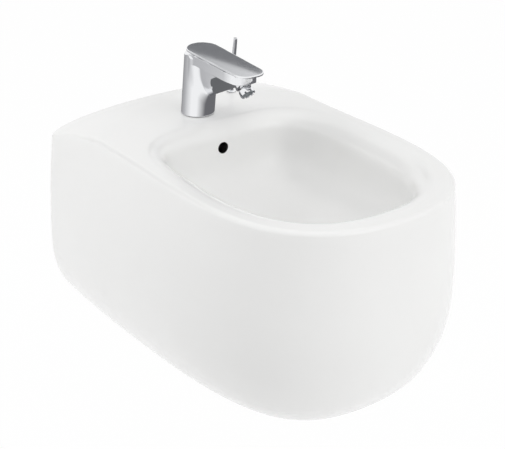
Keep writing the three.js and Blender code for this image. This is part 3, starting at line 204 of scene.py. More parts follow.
@dataclass(frozen=True)
class GlazedChina:
    """Vitreous china under a fired white glaze: a milky body seen through a glassy skin."""

    colour: str = "#f0f0ef"
    pooled_colour: str = "#ebebea"
    roughness: float = 0.3
    coat_roughness: float = 0.2
    glaze_ior: float = 1.52
    ripple_mm: float = 24.0
    ripple_height_mm: float = 0.03
    cloud_mm: float = 160.0
    # Painted shade: a near-black colour that stands in for the shade inside the overflow's hole and
    # channel.
    painted_shade_colour: str = "#1f1d1b"
    painted_shade_mark: str = "painted_overflow_shade"

    def make(self) -> bpy.types.Material:
        """Builds the material.

        Returns:
            White china whose glaze is faintly wavy, as a sprayed and fired glaze is, with painted
            shade in near black on the marked faces inside the overflow's hole and channel.
        """
        material, tree, place = new_material("glazed_vitreous_china")
        cloud = add_node(
            tree,
            "ShaderNodeTexNoise",
            inputs={"Vector": place, "Scale": per_metre(self.cloud_mm), "Detail": 2.0},
        )
        colour = add_node(
            tree,
            "ShaderNodeMix",
            {"data_type": "RGBA"},
            {"Factor": cloud.outputs[0], 6: linear(self.colour), 7: linear(self.pooled_colour)},
        )
        # Faces marked inside the overflow's hole and channel are painted near black, as painted
        # shade for the dark inside of the hole.
        painted_overflow_shade = add_node(tree, "ShaderNodeAttribute", {"attribute_name": self.painted_shade_mark})
        colour = add_node(
            tree,
            "ShaderNodeMix",
            {"data_type": "RGBA"},
            {
                "Factor": painted_overflow_shade.outputs["Fac"],
                6: colour.outputs[2],
                7: linear(self.painted_shade_colour),
            },
        )
        ripple = add_node(
            tree,
            "ShaderNodeTexNoise",
            inputs={"Vector": place, "Scale": per_metre(self.ripple_mm), "Detail": 1.0},
        )
        bump = add_node(
            tree,
            "ShaderNodeBump",
            inputs={
                "Height": ripple.outputs[0],
                "Distance": self.ripple_height_mm * METRES,
                "Strength": 1.0,
            },
        )
        finish_material(
            tree,
            "ShaderNodeBsdfPrincipled",
            {
                "Base Color": colour.outputs[2],
                "Roughness": self.roughness,
                "IOR": self.glaze_ior,
                "Coat Weight": 1.0,
                "Coat Roughness": self.coat_roughness,
                "Coat IOR": self.glaze_ior,
                "Coat Normal": bump.outputs[0],
            },
        )
        return material


@dataclass(frozen=True)
class PlatedChrome:
    """Bright chromium plate over polished brass: a cool mirror with faint polishing waves."""

    colour: str = "#eeeff1"
    roughness: float = 0.08
    haze_mm: float = 9.0
    haze_share: float = 0.03
    wave_mm: float = 14.0
    wave_height_mm: float = 0.004

    def make(self) -> bpy.types.Material:
        """Builds the material.

        Returns:
            A mirror that is a little hazy in places, as plate is after handling.
        """
        material, tree, place = new_material("plated_chrome")
        haze = add_node(
            tree,
            "ShaderNodeTexNoise",
            inputs={"Vector": place, "Scale": per_metre(self.haze_mm), "Detail": 3.0},
        )
        roughness = add_node(
            tree,
            "ShaderNodeMapRange",
            inputs={
                "Value": haze.outputs[0],
                "To Min": self.roughness - self.haze_share,
                "To Max": self.roughness + self.haze_share,
            },
        )
        wave = add_node(
            tree,
            "ShaderNodeTexNoise",
            inputs={"Vector": place, "Scale": per_metre(self.wave_mm), "Detail": 0.0},
        )
        bump = add_node(
            tree,
            "ShaderNodeBump",
            inputs={"Height": wave.outputs[0], "Distance": self.wave_height_mm * METRES},
        )
        finish_material(
            tree,
            "ShaderNodeBsdfPrincipled",
            {
                "Base Color": linear(self.colour),
                "Metallic": 1.0,
                "Roughness": roughness.outputs[0],
                "Normal": bump.outputs[0],
            },
        )
        return material


@dataclass(frozen=True)
class TurnedMetal:
    """A metal left as the lathe or the press leaves it: fine tool marks and a dull grey bloom."""

    name: str
    colour: str
    worn_colour: str
    roughness: float
    mark_mm: float = 0.8
    marks_to_a_wave: float = 20
    mark_height_mm: float = 0.01
    bloom_mm: float = 12.0

    def make(self) -> bpy.types.Material:
        """Builds the material.

        Returns:
            The metal with its tool marks drawn as coarse as the render can show.
        """
        material, tree, place = new_material(self.name)
        bloom = add_node(
            tree,
            "ShaderNodeTexNoise",
            inputs={"Vector": place, "Scale": per_metre(self.bloom_mm), "Detail": 4.0},
        )
        colour = add_node(
            tree,
            "ShaderNodeMix",
            {"data_type": "RGBA"},
            {"Factor": bloom.outputs[0], 6: linear(self.colour), 7: linear(self.worn_colour)},
        )
        marks = add_node(
            tree,
            "ShaderNodeTexWave",
            {"bands_direction": "Z"},
            {
                "Vector": place,
                "Scale": per_metre(self.mark_mm) / self.marks_to_a_wave,
                "Distortion": 1.0,
            },
        )
        bump = add_node(
            tree,
            "ShaderNodeBump",
            inputs={"Height": marks.outputs[1], "Distance": self.mark_height_mm * METRES},
        )
        finish_material(
            tree,
            "ShaderNodeBsdfPrincipled",
            {
                "Base Color": colour.outputs[2],
                "Metallic": 1.0,
                "Roughness": self.roughness,
                "Normal": bump.outputs[0],
            },
        )
        return material


@dataclass(frozen=True)
class MouldedSkin:
    """A moulded plastic, rubber or ground ceramic: an even colour with the mould's fine grain."""

    name: str
    colour: str
    shade_colour: str
    roughness: float
    ior: float
    grain_mm: float = 1.2
    grain_height_mm: float = 0.02

    def make(self) -> bpy.types.Material:
        """Builds the material.

        Returns:
            The moulded material with its grain.
        """
        material, tree, place = new_material(self.name)
        grain = add_node(
            tree,
            "ShaderNodeTexNoise",
            inputs={"Vector": place, "Scale": per_metre(self.grain_mm), "Detail": 2.0},
        )
        colour = add_node(
            tree,
            "ShaderNodeMix",
            {"data_type": "RGBA"},
            {"Factor": grain.outputs[0], 6: linear(self.colour), 7: linear(self.shade_colour)},
        )
        bump = add_node(
            tree,
            "ShaderNodeBump",
            inputs={"Height": grain.outputs[0], "Distance": self.grain_height_mm * METRES},
        )
        finish_material(
            tree,
            "ShaderNodeBsdfPrincipled",
            {
                "Base Color": colour.outputs[2],
                "Roughness": self.roughness,
                "IOR": self.ior,
                "Normal": bump.outputs[0],
            },
        )
        return material


class Finishes:
    """Every material of the object, by the record's slot."""

    def __init__(self) -> None:
        """Makes each material once."""
        self.by_slot: dict[Slot, bpy.types.Material] = {
            Slot.GLAZE: GlazedChina().make(),
            Slot.CHROME: PlatedChrome().make(),
            Slot.STEEL: TurnedMetal("zinc_plated_steel", "#b4b7ba", "#9da1a5", 0.34).make(),
            Slot.BRASS: TurnedMetal("turned_brass", "#c9ad6a", "#b0945a", 0.3).make(),
            Slot.BLACK_RUBBER: MouldedSkin(
                "nitrile_rubber", "#1d1d1e", "#262627", 0.72, 1.52
            ).make(),
            Slot.GREY_PLASTIC: MouldedSkin(
                "moulded_acetal_grey", "#8b9094", "#7e8387", 0.42, 1.48
            ).make(),
            Slot.WHITE_PLASTIC: MouldedSkin(
                "moulded_polyethylene_white", "#e6e6e3", "#dcdcd8", 0.45, 1.5
            ).make(),
            Slot.DISC_CERAMIC: MouldedSkin(
                "ground_alumina", "#ebe8e0", "#e1ded6", 0.3, 1.76, 0.6, 0.005
            ).make(),
        }

    def __getitem__(self, slot: Slot) -> bpy.types.Material:
        """Gives the material of a slot."""
        return self.by_slot[slot]


# Meshes


@dataclass
class Shop:
    """What every sub-assembly needs to make its pieces: the frame and the finishes."""

    frame: dict[str, object]
    finishes: Finishes
    made: list[str] = field(default_factory=list)

    def piece(
        self,
        name: str,
        points: Points,
        faces: Faces,
        normals: Points,
        slot: Slot,
        body: str,
        node: str,
    ) -> None:
        """Makes a piece of the object from points in millimetres.

        Args:
            name: the piece's name.
            points: its corners, in the part's frame.
            faces: the corners of each face.
            normals: the surface's own normal at each point.
            slot: the record's slot whose finish it takes.
            body: the moving body that it rides on.
            node: the solid that it stands for.
        """
        mesh = bpy.data.meshes.new(name)
        mesh.from_pydata((np.asarray(points) * METRES).tolist(), [], faces)
        mesh.update()
        mesh.polygons.foreach_set("use_smooth", [True] * len(mesh.polygons))
        mesh.normals_split_custom_set_from_vertices(normals.tolist())
        piece = bpy.data.objects.new(name, mesh)
        bpy.context.scene.collection.objects.link(piece)
        self.dress(piece, slot, body, node)

    def dress(self, piece: bpy.types.Object, slot: Slot, body: str, node: str) -> None:
        """Gives a piece its finish and its body.

        Args:
            piece: the object.
            slot: the record's slot whose finish it takes.
            body: the moving body that it rides on.
            node: the solid that it stands for.
        """
        piece.data.materials.clear()
        piece.data.materials.append(self.finishes[slot])
        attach(piece, body)
        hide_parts(node)
        self.made.append(piece.name)
        LOG.info("made %s on %s, %d faces", piece.name, body, len(piece.data.polygons))


def grid_faces(rows: int, columns: int) -> Faces:
    """Lists the faces of a grid of points, row after row, whose last column meets the first.

    Args:
        rows: how many rows of points.
        columns: how many points in each row.

    Returns:
        Four corners for each face.
    """
    faces: Faces = []
    for row in range(rows - 1):
        for column in range(columns):
            here = row * columns + column
            beside = row * columns + (column + 1) % columns
            faces.append((here, beside, beside + columns, here + columns))
    return faces


def closed_skin(rows: Points) -> tuple[Points, Faces]:
    """Closes a stack of rings with one face at each end.

    Args:
        rows: the rings, as rows by columns by three.

    Returns:
        The points and the faces.
    """
    count, columns, _ = rows.shape
    faces = grid_faces(count, columns)
    faces.append(tuple(range(columns))[::-1])
    faces.append(tuple(range((count - 1) * columns, count * columns)))
    return rows.reshape(-1, 3), faces


def smooth(mesh: bpy.types.Mesh, sharp_degrees: float) -> None:
    """Shades a mesh smoothly, but for the edges that turn more than so many degrees."""
    mesh.polygons.foreach_set("use_smooth", [True] * len(mesh.polygons))
    mesh.set_sharp_from_angle(angle=math.radians(sharp_degrees))


def turned(profile: Profile, sides: int) -> Points:
    """Turns a profile about +Z.

    Args:
        profile: pairs of radius and height; a closed profile repeats its first pair.
        sides: how many facets go round.

    Returns:
        Rows by columns by three.
    """
    pairs = np.array(profile, float)
    angle = 2 * np.pi * np.arange(sides) / sides
    ring = np.stack([np.cos(angle), np.sin(angle)], 1)
    rows = pairs[:, None, :1] * ring[None, :, :]
    heights = np.repeat(pairs[:, None, 1:], sides, 1)
    return np.concatenate([rows, heights], 2)


def aimed(points: Points, place: Vector, direction: Vector) -> Points:
    """Turns points drawn about +Z to a direction and moves them to a place.

    Args:
        points: the points, with three numbers in the last axis.
        place: where the origin goes.
        direction: where +Z goes.

    Returns:
        The moved points in the same shape.
    """
    turn = np.array(Vector((0, 0, 1)).rotation_difference(direction).to_matrix())
    return points @ turn.T + np.array(place)


def rounded(corners: Profile, radius: float, steps: int = 4) -> Profile:
    """Rounds the corners of an open profile.

    Args:
        corners: pairs of radius and height.
        radius: the largest rounding; a short side takes less.
        steps: how many segments each rounding has.

    Returns:
        The profile with its corners rounded.
    """
    points = [Vector(c) for c in corners]
    out = [tuple(points[0])]
    for before, corner, after in zip(points, points[1:], points[2:]):
        to_before = before - corner
        to_after = after - corner
        reach = min(radius, to_before.length * SIDE_SHARE, to_after.length * SIDE_SHARE)
        start = corner + to_before.normalized() * reach
        end = corner + to_after.normalized() * reach
        for step in range(steps + 1):
            share = step / steps
            bend = start.lerp(corner, share).lerp(corner.lerp(end, share), share)
            out.append(tuple(bend))
    out.append(tuple(points[-1]))
    return out


# Surfaces given by a field that is negative inside the metal


def smooth_min(a: np.ndarray, b: np.ndarray, blend: float) -> np.ndarray:
    """Joins two fields with a fillet.

    Args:
        a: the first field.
        b: the second field.
        blend: how far the fillet reaches, in millimetres.

    Returns:
        The joined field.
    """
    mix = np.clip(0.5 + 0.5 * (b - a) / blend, 0, 1)
    return b + (a - b) * mix - blend * mix * (1 - mix)


def smooth_max(a: np.ndarray, b: np.ndarray, blend: float) -> np.ndarray:
    """Keeps what lies in both fields, with a rounded edge."""
    return -smooth_min(-a, -b, blend)


def cell_corners() -> list[tuple[int, int, int]]:
    """Lists the eight corners of a grid cell."""
    return [(i, j, k) for i in (0, 1) for j in (0, 1) for k in (0, 1)]


def surface_of(
    form: Field, low: Sequence[float], high: Sequence[float], step: float
) -> tuple[Points, Faces, Points]:
    """Finds the surface where a field is zero, as faces with exact normals.

    Args:
        form: the field, negative inside.
        low: the lowest corner of the box that is searched.
        high: its highest corner.
        step: the grid's spacing.

    Returns:
        The points, the faces and one normal for each point.
    """
    axes = [np.arange(a, b + step, step) for a, b in zip(low, high)]
    places = np.stack(np.meshgrid(*axes, indexing="ij"), -1)
    values = form(places.reshape(-1, 3)).reshape(places.shape[:3])
    inside = values < 0
    cells = tuple(n - 1 for n in values.shape)
    total = np.zeros(cells + (3,))
    hits = np.zeros(cells)

    def at(array: np.ndarray, corner: tuple[int, int, int]) -> np.ndarray:
        """Reads an array at one corner of every cell."""
        i, j, k = corner
        return array[i : i + cells[0], j : j + cells[1], k : k + cells[2]]

    for start in cell_corners():
        for axis in range(3):
            if start[axis]:
                continue
            end = tuple(c + (1 if n == axis else 0) for n, c in enumerate(start))
            va = at(values, start)
            vb = at(values, end)
            crossed = at(inside, start) != at(inside, end)
            share = np.where(crossed, va / np.where(crossed, va - vb, 1), 0)[..., None]
            where = at(places, start) * (1 - share) + at(places, end) * share
            total += np.where(crossed[..., None], where, 0)
            hits += crossed
    active = hits > 0
    number = np.full(cells, -1)
    number[active] = np.arange(active.sum())
    points = total[active] / hits[active][:, None]
    faces: list[np.ndarray] = []
    for axis in range(3):
        others = [n for n in range(3) if n != axis]
        lower = [slice(None)] * 3
        upper = [slice(None)] * 3
        lower[axis] = slice(0, -1)
        upper[axis] = slice(1, None)
        for n in others:
            lower[n] = slice(1, -1)
            upper[n] = slice(1, -1)
        before = inside[tuple(lower)]
        after = inside[tuple(upper)]
        changed = np.argwhere(before != after)
        if not len(changed):
            continue
        goes_out = before[tuple(changed.T)]
        base = changed.copy()
        for n in others:
            base[:, n] += 1
        quad = []
        for da, db in ((-1, -1), (0, -1), (0, 0), (-1, 0)):
            cell = base.copy()
            cell[:, others[0]] += da
            cell[:, others[1]] += db
            quad.append(number[tuple(cell.T)])
        corners = np.stack(quad, 1)
        flip = goes_out if axis == 1 else ~goes_out
        corners[flip] = corners[flip][:, ::-1]
        faces.append(corners)
    for _ in range(SETTLING_STEPS):
        value, slope = value_and_slope(form, points)
        size = np.maximum((slope**2).sum(1), LEAST_SLOPE)
        points = points - np.clip(value / size, -step, step)[:, None] * slope
    _, slope = value_and_slope(form, points)
    normals = slope / np.maximum(np.linalg.norm(slope, axis=1), LEAST_LENGTH)[:, None]
    return points, [tuple(int(c) for c in f) for f in np.concatenate(faces)], normals


def value_and_slope(form: Field, points: Points) -> tuple[np.ndarray, Points]:
    """Reads a field and its slope.

    Args:
        form: the field.
        points: where to read it.

    Returns:
        The field's value and its slope at each point.
    """
    slope = np.empty_like(points)
    for axis in range(3):
        offset = np.zeros(3)
        offset[axis] = SLOPE_REACH
        slope[:, axis] = (form(points + offset) - form(points - offset)) / (2 * SLOPE_REACH)
    return form(points), slope


# Ceramic


@dataclass
class CeramicBody:
    """The glazed body: an outer skin, a deck with a rolled bowl, and the hollow behind them."""

    width: float = 395
    depth: float = 540
    height: float = 304
    deck_level: float = 85
    depth_power: float = 5.8
    width_power: float = 2.24
    wall_draw_in: float = 5
    wall_draw_in_reach: float = 183
    side_rounding: tuple[float, float] = (101, 116)
    front_rounding: tuple[float, float] = (101, 167)
    rounding_power: float = 2.08
    flank_lean: float = 31
    front_lean: float = 1.4
    wall_lean: float = 15
    wall_lean_reach: float = 217
    edge_radius: float = 6
    shoulder_drop: float = 26
    shoulder_reach: float = 115
    shoulder_power: float = 1.53
    shoulder_crest: float = 3
    skin: float = 11
    deck_thickness: float = 14
    back_thickness: float = 14
    floor_thickness: float = 12
    bowl_half_width: float = 125
    bowl_back: float = 160
    bowl_front: float = 485
    bowl_depth: float = 118
    bowl_middle: float = 314
    bowl_front_power: float = 2.65
    bowl_back_power: float = 4.4
    bowl_section_power: float = 2.5
    roll_back: float = 24
    roll_front: float = 33
    roll_power: float = 2.6
    drain_from_wall: float = 300
    drain_recess: tuple[float, float] = (33, 3)
    drain_hole: float = 22.8
    drain_pad: tuple[float, float] = (40, 20)
    overflow_radius: float = 8.3
    overflow_drop: float = 34
    channel_radius: float = 6.5
    channel_wall: float = 5.5
    stud_spacing: float = 180
    stud_hole: float = 12
    stud_pad: tuple[float, float] = (26, 24)
    tap_from_wall: float = 97
    tap_hole: float = 17.5
    rod_hole: tuple[float, float, float] = (87, 54, 5.6)
    rod_rake: float = 0.137
    window_half_width: float = 62
    window_top: float = -60
    window_bottom: float = -166
    window_corner: float = 24
    hatch_half_width: float = 75
    hatch_back: float = 34
    hatch_front: float = 346
    hatch_corner: float = 40
    tap_hole_cut: float = 40
    overrun: float = 6
    recess_lip: float = 4
    hub: float = 1
    channel_set_back: float = 1 / 3
    channel_shares: tuple[float, ...] = (
        0.12, 0.2, 0.3, 0.38, 0.45, 0.53, 0.6, 0.66, 0.72, 0.82, 0.9,
    )
    nudge_degrees: float = 0.057
    plan_steps: tuple[int, int] = (22, 74)
    section_steps: tuple[int, int, int] = (26, 14, 16)
    deck_steps: int = 6
    roll_steps: int = 16
    bowl_steps: int = 44
    hollow_plan_steps: tuple[int, int] = (10, 40)
    hollow_section_steps: tuple[int, int, int] = (10, 6, 6)
    shell_sides: int = 72
    shell_steps: int = 20
    shell_share: float = 0.985
    sharp_degrees: float = 32
    hole_slant: float = 0.6
    hole_reach: float = 60
    hole_slack: float = 0.2
    channel_slack: float = 0.3

    def half_width(self, depth: np.ndarray) -> np.ndarray:
        """Gives the plan's half width.

        Args:
            depth: the distance from the wall.

        Returns:
            Half the plan's width there.
        """
        along = np.minimum(depth / self.depth, 1) ** self.depth_power
        full = self.width / 2 * (1 - along) ** (1 / self.width_power)
        near_wall = np.maximum(0, 1 - depth / self.wall_draw_in_reach)
        return full - self.wall_draw_in * near_wall**2

    def outline(self, near: int, far: int) -> tuple[Points, Points, np.ndarray]:
        """Draws the plan outline from the wall on the right, round the front, to the left.

        Args:
            near: steps over the shoulder's reach.
            far: steps from there to the front.

        Returns:
            The points, their outward normals and their distance from the wall.
        """
        start = math.asin(self.shoulder_reach / self.depth)
        close = np.linspace(0, self.shoulder_reach, near, endpoint=False)
        away = self.depth * np.sin(np.linspace(start, math.pi / 2, far))
        depth = np.concatenate([close, away])
        right = np.stack([self.half_width(depth), -depth], 1)
        left = right[:-1][::-1] * (-1, 1)
        points = np.concatenate([right, left])
        ahead = np.roll(points, -1, 0)
        behind = np.roll(points, 1, 0)
        along = ahead - behind
        normals = np.stack([-along[:, 1], along[:, 0]], 1)
        normals[0] = (1, 0)
        normals[-1] = (-1, 0)
        normals /= np.linalg.norm(normals, axis=1)[:, None]
        return points, normals, -points[:, 1]

    def section(
        self, points: Points, depth: np.ndarray, steps: tuple[int, int, int]
    ) -> tuple[np.ndarray, np.ndarray]:
        """Draws the wall's section at each place of the outline, from the underside up.

        Args:
            points: the plan outline.
            depth: each place's distance from the wall.
            steps: how many steps the rounding, the flank and the shoulder take.

        Returns:
            The inset and the height, as rows by places.
        """
        front = np.minimum(depth / self.depth, 1) ** 2

        def mix(side: float, nose: float) -> np.ndarray:
            """Goes from a value at the sides to one at the front."""
            return side + (nose - side) * front

        across = mix(self.side_rounding[0], self.front_rounding[0])
        rise = mix(self.side_rounding[1], self.front_rounding[1])
        near_wall = np.maximum(0, 1 - depth / self.wall_lean_reach) ** 2
        lean = mix(self.flank_lean, self.front_lean)
        lean = lean + (self.wall_lean - self.flank_lean) * near_wall
        opened = np.maximum(0, 1 - depth / self.shoulder_reach) ** self.shoulder_power
        broadest = np.abs(points[:, 0]) - lean - self.shoulder_crest
        shoulder_width = self.edge_radius + (broadest - self.edge_radius) * opened
        shoulder_height = self.edge_radius + (self.shoulder_drop - self.edge_radius) * opened

        def lean_at(height: np.ndarray) -> np.ndarray:
            """Gives how far the flank leans in at a height."""
            share = np.maximum(0, (height - rise) / (self.height - rise))
            return lean * share**2

        power = 2 / self.rounding_power
        insets = []
        heights = []
        for turn in np.linspace(0, math.pi / 2, steps[0] + 1):
            insets.append(across * (1 - math.sin(turn) ** power))
            heights.append(rise * (1 - max(math.cos(turn), 0) ** power))
        flank_top = self.height - shoulder_height
        for share in np.linspace(0, 1, steps[1] + 1)[1:-1]:
            height = rise + (flank_top - rise) * share
            insets.append(lean_at(height))
            heights.append(height)
        for turn in np.linspace(0, math.pi / 2, steps[2] + 1):
            height = self.height - shoulder_height * (1 - math.sin(turn))
            insets.append(shoulder_width * (1 - math.cos(turn)) + lean_at(height))
            heights.append(height)
        return np.array(insets), np.array(heights)

    def skin_rows(
        self,
        resolution: tuple[int, int],
        steps: tuple[int, int, int],
        inset: float = 0.0,
        floor_inset: float = 0.0,
        deck_inset: float = 0.0,
    ) -> Points:
        """Gives the outer skin, or the same skin drawn in.

        Args:
            resolution: the outline's near and far steps.
            steps: the section's steps.
            inset: how far the sides draw in.
            floor_inset: how far the underside draws in.
            deck_inset: how far the deck draws in.

        Returns:
            Rows by places by three, from the underside up.
        """
        points, normals, depth = self.outline(*resolution)
        across, heights = self.section(points, depth, steps)
        usable = self.height - floor_inset - deck_inset
        move = across + inset
        x = points[:, 0] - normals[:, 0] * move
        y = np.minimum(0, points[:, 1] - normals[:, 1] * move)
        floor = self.deck_level - self.height + floor_inset
        z = floor + heights / self.height * usable
        return np.stack([x, y, z], -1)

    def plan_ring(self, angle: np.ndarray) -> tuple[Points, Points, np.ndarray]:
        """Draws the bowl's plan where its wall starts, below the rolled rim.

        Args:
            angle: the direction of each point from the bowl's middle.

        Returns:
            The points about the middle, their outward normals and the roll's radius.
        """
        points = self.raw_ring(angle)
        nudge = math.radians(self.nudge_degrees)
        step = self.raw_ring(angle + nudge) - self.raw_ring(angle - nudge)
        normals = np.stack([step[:, 1], -step[:, 0]], 1)
        normals /= np.linalg.norm(normals, axis=1)[:, None]
        share = (points[:, 1] + self.bowl_front - self.bowl_middle) / (
            self.bowl_front - self.bowl_back
        )
        roll = self.roll_front + (self.roll_back - self.roll_front) * np.clip(
            share, 0, 1
        ) ** self.roll_power
        return points, normals, roll

    def raw_ring(self, angle: np.ndarray) -> Points:
        """Gives the bowl's plan alone.

        Args:
            angle: the direction of each point from the bowl's middle.

        Returns:
            The points about the bowl's middle.
        """
        backward = np.sin(angle) > 0
        reach = np.where(
            backward, self.bowl_middle - self.bowl_back, self.bowl_front - self.bowl_middle
        )
        power = np.where(backward, self.bowl_back_power, self.bowl_front_power)
        across = np.abs(np.cos(angle) / self.bowl_half_width) ** power
        along = np.abs(np.sin(angle) / reach) ** power
        radius = (across + along) ** (-1 / power)
        return np.stack([radius * np.cos(angle), radius * np.sin(angle)], 1)

    def bowl_rows(self, angle: np.ndarray, shares: Sequence[float], grow: float) -> Points:
        """Gives the bowl's wall from below the roll to the drain.

        Args:
            angle: the direction of each point from the bowl's middle.
            shares: how far down each row lies, from zero at the roll to one at the drain.
            grow: how far outside the bowl's own surface the rows lie.

        Returns:
            Rows by places by three.
        """
        ring, _, roll = self.plan_ring(angle)
        size = np.linalg.norm(ring, axis=1)
        unit = ring / size[:, None]
        power = 2 / self.bowl_section_power
        rows = []
        for share in shares:
            turn = math.pi / 2 * share
            spread = max(math.cos(turn), 0) ** power
            fall = math.sin(turn) ** power
            middle = self.bowl_middle + (self.drain_from_wall - self.bowl_middle) * fall**2
            radius = (size + grow) * spread
            z = self.deck_level - roll - (self.bowl_depth + grow - roll) * fall
            plan = unit * radius[:, None]
            rows.append(np.stack([plan[:, 0], plan[:, 1] - middle, z], 1))
        return np.array(rows)

    def whole_skin(self) -> tuple[Points, Faces]:
        """Draws the outer skin, the deck, the rolled rim and the bowl as one closed skin.

        Returns:
            The points and the faces.
        """
        skin = self.skin_rows(self.plan_steps, self.section_steps)
        rim = skin[-1]
        angle = np.arctan2(rim[:, 1] + self.bowl_middle, rim[:, 0])
        ring, normals, roll = self.plan_ring(angle)
        rows = list(skin)
        outer = ring + normals * roll[:, None]
        outer = np.stack([outer[:, 0], outer[:, 1] - self.bowl_middle], 1)
        for share in np.linspace(0, 1, self.deck_steps + 1)[1:]:
            plan = rim[:, :2] * (1 - share) + outer * share
            rows.append(np.column_stack([plan, np.full(len(plan), self.deck_level)]))
        for turn in np.linspace(0, math.pi / 2, self.roll_steps + 1)[1:-1]:
            spread = roll * (1 - math.sin(turn))
            plan = ring + normals * spread[:, None]
            z = self.deck_level - roll * (1 - math.cos(turn))
            rows.append(np.stack([plan[:, 0], plan[:, 1] - self.bowl_middle, z], 1))
        shares = np.sin(np.linspace(0, math.pi / 2, self.bowl_steps)) * self.recess_share()
        rows.extend(self.bowl_rows(angle, shares, 0.0))
        circle = np.stack([np.cos(angle), np.sin(angle)], 1)
        recess, drop = self.drain_recess
        floor = self.deck_level - self.bowl_depth
        for radius, level in ((recess, floor), (recess, floor - drop), (self.hub, floor - drop)):
            plan = circle * radius
            z = np.full(len(plan), level)
            rows.append(np.stack([plan[:, 0], plan[:, 1] - self.drain_from_wall, z], 1))
        return closed_skin(np.array(rows))

    def recess_share(self) -> float:
        """Says how far down the bowl's wall runs before the drain's recess cuts it."""
        spread = (self.drain_recess[0] + self.recess_lip) / self.bowl_half_width
        return math.acos(spread ** (self.bowl_section_power / 2)) / (math.pi / 2)

    def overflow_route(self, start_drop: float) -> Points:
        """Draws the overflow channel's middle line, behind the bowl's back wall.

        Args:
            start_drop: how far below the deck the line starts.

        Returns:
            The points of the line, ending in the drain hole's side.
        """
        back = np.array([math.pi / 2])
        behind = self.skin + self.channel_wall * self.channel_set_back
        line = self.bowl_rows(back, self.channel_shares, behind)[:, 0]
        start = (0.0, behind - self.bowl_back, self.deck_level - start_drop)
        line = np.vstack([start, line])
        level = self.deck_level - self.bowl_depth - self.drain_recess[1] - self.drain_pad[1] / 2
        end = (0.0, self.drain_hole - self.channel_wall - self.drain_from_wall, level)
        return np.vstack([line, end])

    def tube(self, line: Points, radius: float, sides: int = 24) -> tuple[Points, Faces]:
        """Draws a round tube along a line in the middle plane.

        Args:
            line: the tube's middle line.
            radius: its radius.
            sides: how many facets go round.

        Returns:
            The points and the faces.
        """
        along = np.gradient(line, axis=0)
        along /= np.linalg.norm(along, axis=1)[:, None]
        across = np.array([1.0, 0, 0])
        other = np.cross(along, across)
        angle = 2 * np.pi * np.arange(sides) / sides
        rows = []
        for place, side in zip(line, other):
            ring = np.outer(np.cos(angle), across) + np.outer(np.sin(angle), side)
            rows.append(place + ring * radius)
        return closed_skin(np.array(rows))

    def slot_prism(
        self,
        low: tuple[float, float],
        high: tuple[float, float],
        corner: float,
        axis: int,
        ends: tuple[float, float],
    ) -> tuple[Points, Faces]:
        """Draws a straight block with round corners.

        Args:
            low: the lowest corner of its outline, in the two axes that it doesn't run along.
            high: the highest corner.
            corner: the corners' radius.
            axis: the number of the axis that it runs along.
            ends: where it starts and ends on that axis.

        Returns:
            The points and the faces.
        """
        corner_points = 9
        out = []
        middles = (
            (high[0] - corner, high[1] - corner, 0),
            (low[0] + corner, high[1] - corner, 1),
            (low[0] + corner, low[1] + corner, 2),
            (high[0] - corner, low[1] + corner, 3),
        )
        for x, y, quarter in middles:
            for angle in np.linspace(0, math.pi / 2, corner_points) + quarter * math.pi / 2:
                out.append((x + corner * math.cos(angle), y + corner * math.sin(angle)))
        rows = [np.insert(np.array(out), axis, end, axis=1) for end in ends]
        return closed_skin(np.array(rows))

    def cylinder(
        self, radius: float, start: Sequence[float], end: Sequence[float], sides: int = 48
    ) -> tuple[Points, Faces]:
        """Draws a plain round cutter from one place to another.

        Args:
            radius: its radius.
            start: the middle of one end.
            end: the middle of the other end.
            sides: how many facets go round.

        Returns:
            The points and the faces.
        """
        along = Vector(end) - Vector(start)
        rows = turned([(radius, 0), (radius, along.length)], sides)
        return closed_skin(aimed(rows, Vector(start), along))

    def hollow_walls(self) -> list[tuple[Points, Faces]]:
        """Lists what stays solid inside the hollow: the bowl's shell, pads and rib.

        Returns:
            Closed shapes to take out of the hollow.
        """
        angle = 2 * np.pi * np.arange(self.shell_sides) / self.shell_sides
        shares = np.sin(np.linspace(0, math.pi / 2, self.shell_steps)) * self.shell_share
        shell = self.bowl_rows(angle, shares, self.skin)
        lid = shell[0].copy()
        lid[:, 2] = self.deck_level + self.overrun
        ring, normals, roll = self.plan_ring(angle)
        wide = ring + normals * (roll + self.skin / 2)[:, None]
        lid[:, 0] = wide[:, 0]
        lid[:, 1] = wide[:, 1] - self.bowl_middle
        solids = [closed_skin(np.concatenate([lid[None], shell])[::-1])]
        y = -self.drain_from_wall
        floor = self.deck_level - self.bowl_depth
        low = floor - self.drain_recess[1] - self.drain_pad[1]
        solids.append(self.cylinder(self.drain_pad[0], (0, y, low), (0, y, floor)))
        wide_channel = self.channel_radius + self.channel_wall
        solids.append(self.tube(self.overflow_route(self.overflow_drop / 2), wide_channel))
        for side in (-1, 1):
            x = side * self.stud_spacing / 2
            pad = self.cylinder(self.stud_pad[0], (x, -self.stud_pad[1], 0), (x, 0, 0))
            solids.append(pad)
        back = ((-self.width, -self.height), (self.width, self.height))
        ends = (-self.back_thickness, self.overrun)
        solids.append(self.slot_prism(*back, self.hub, 1, ends))
        return solids

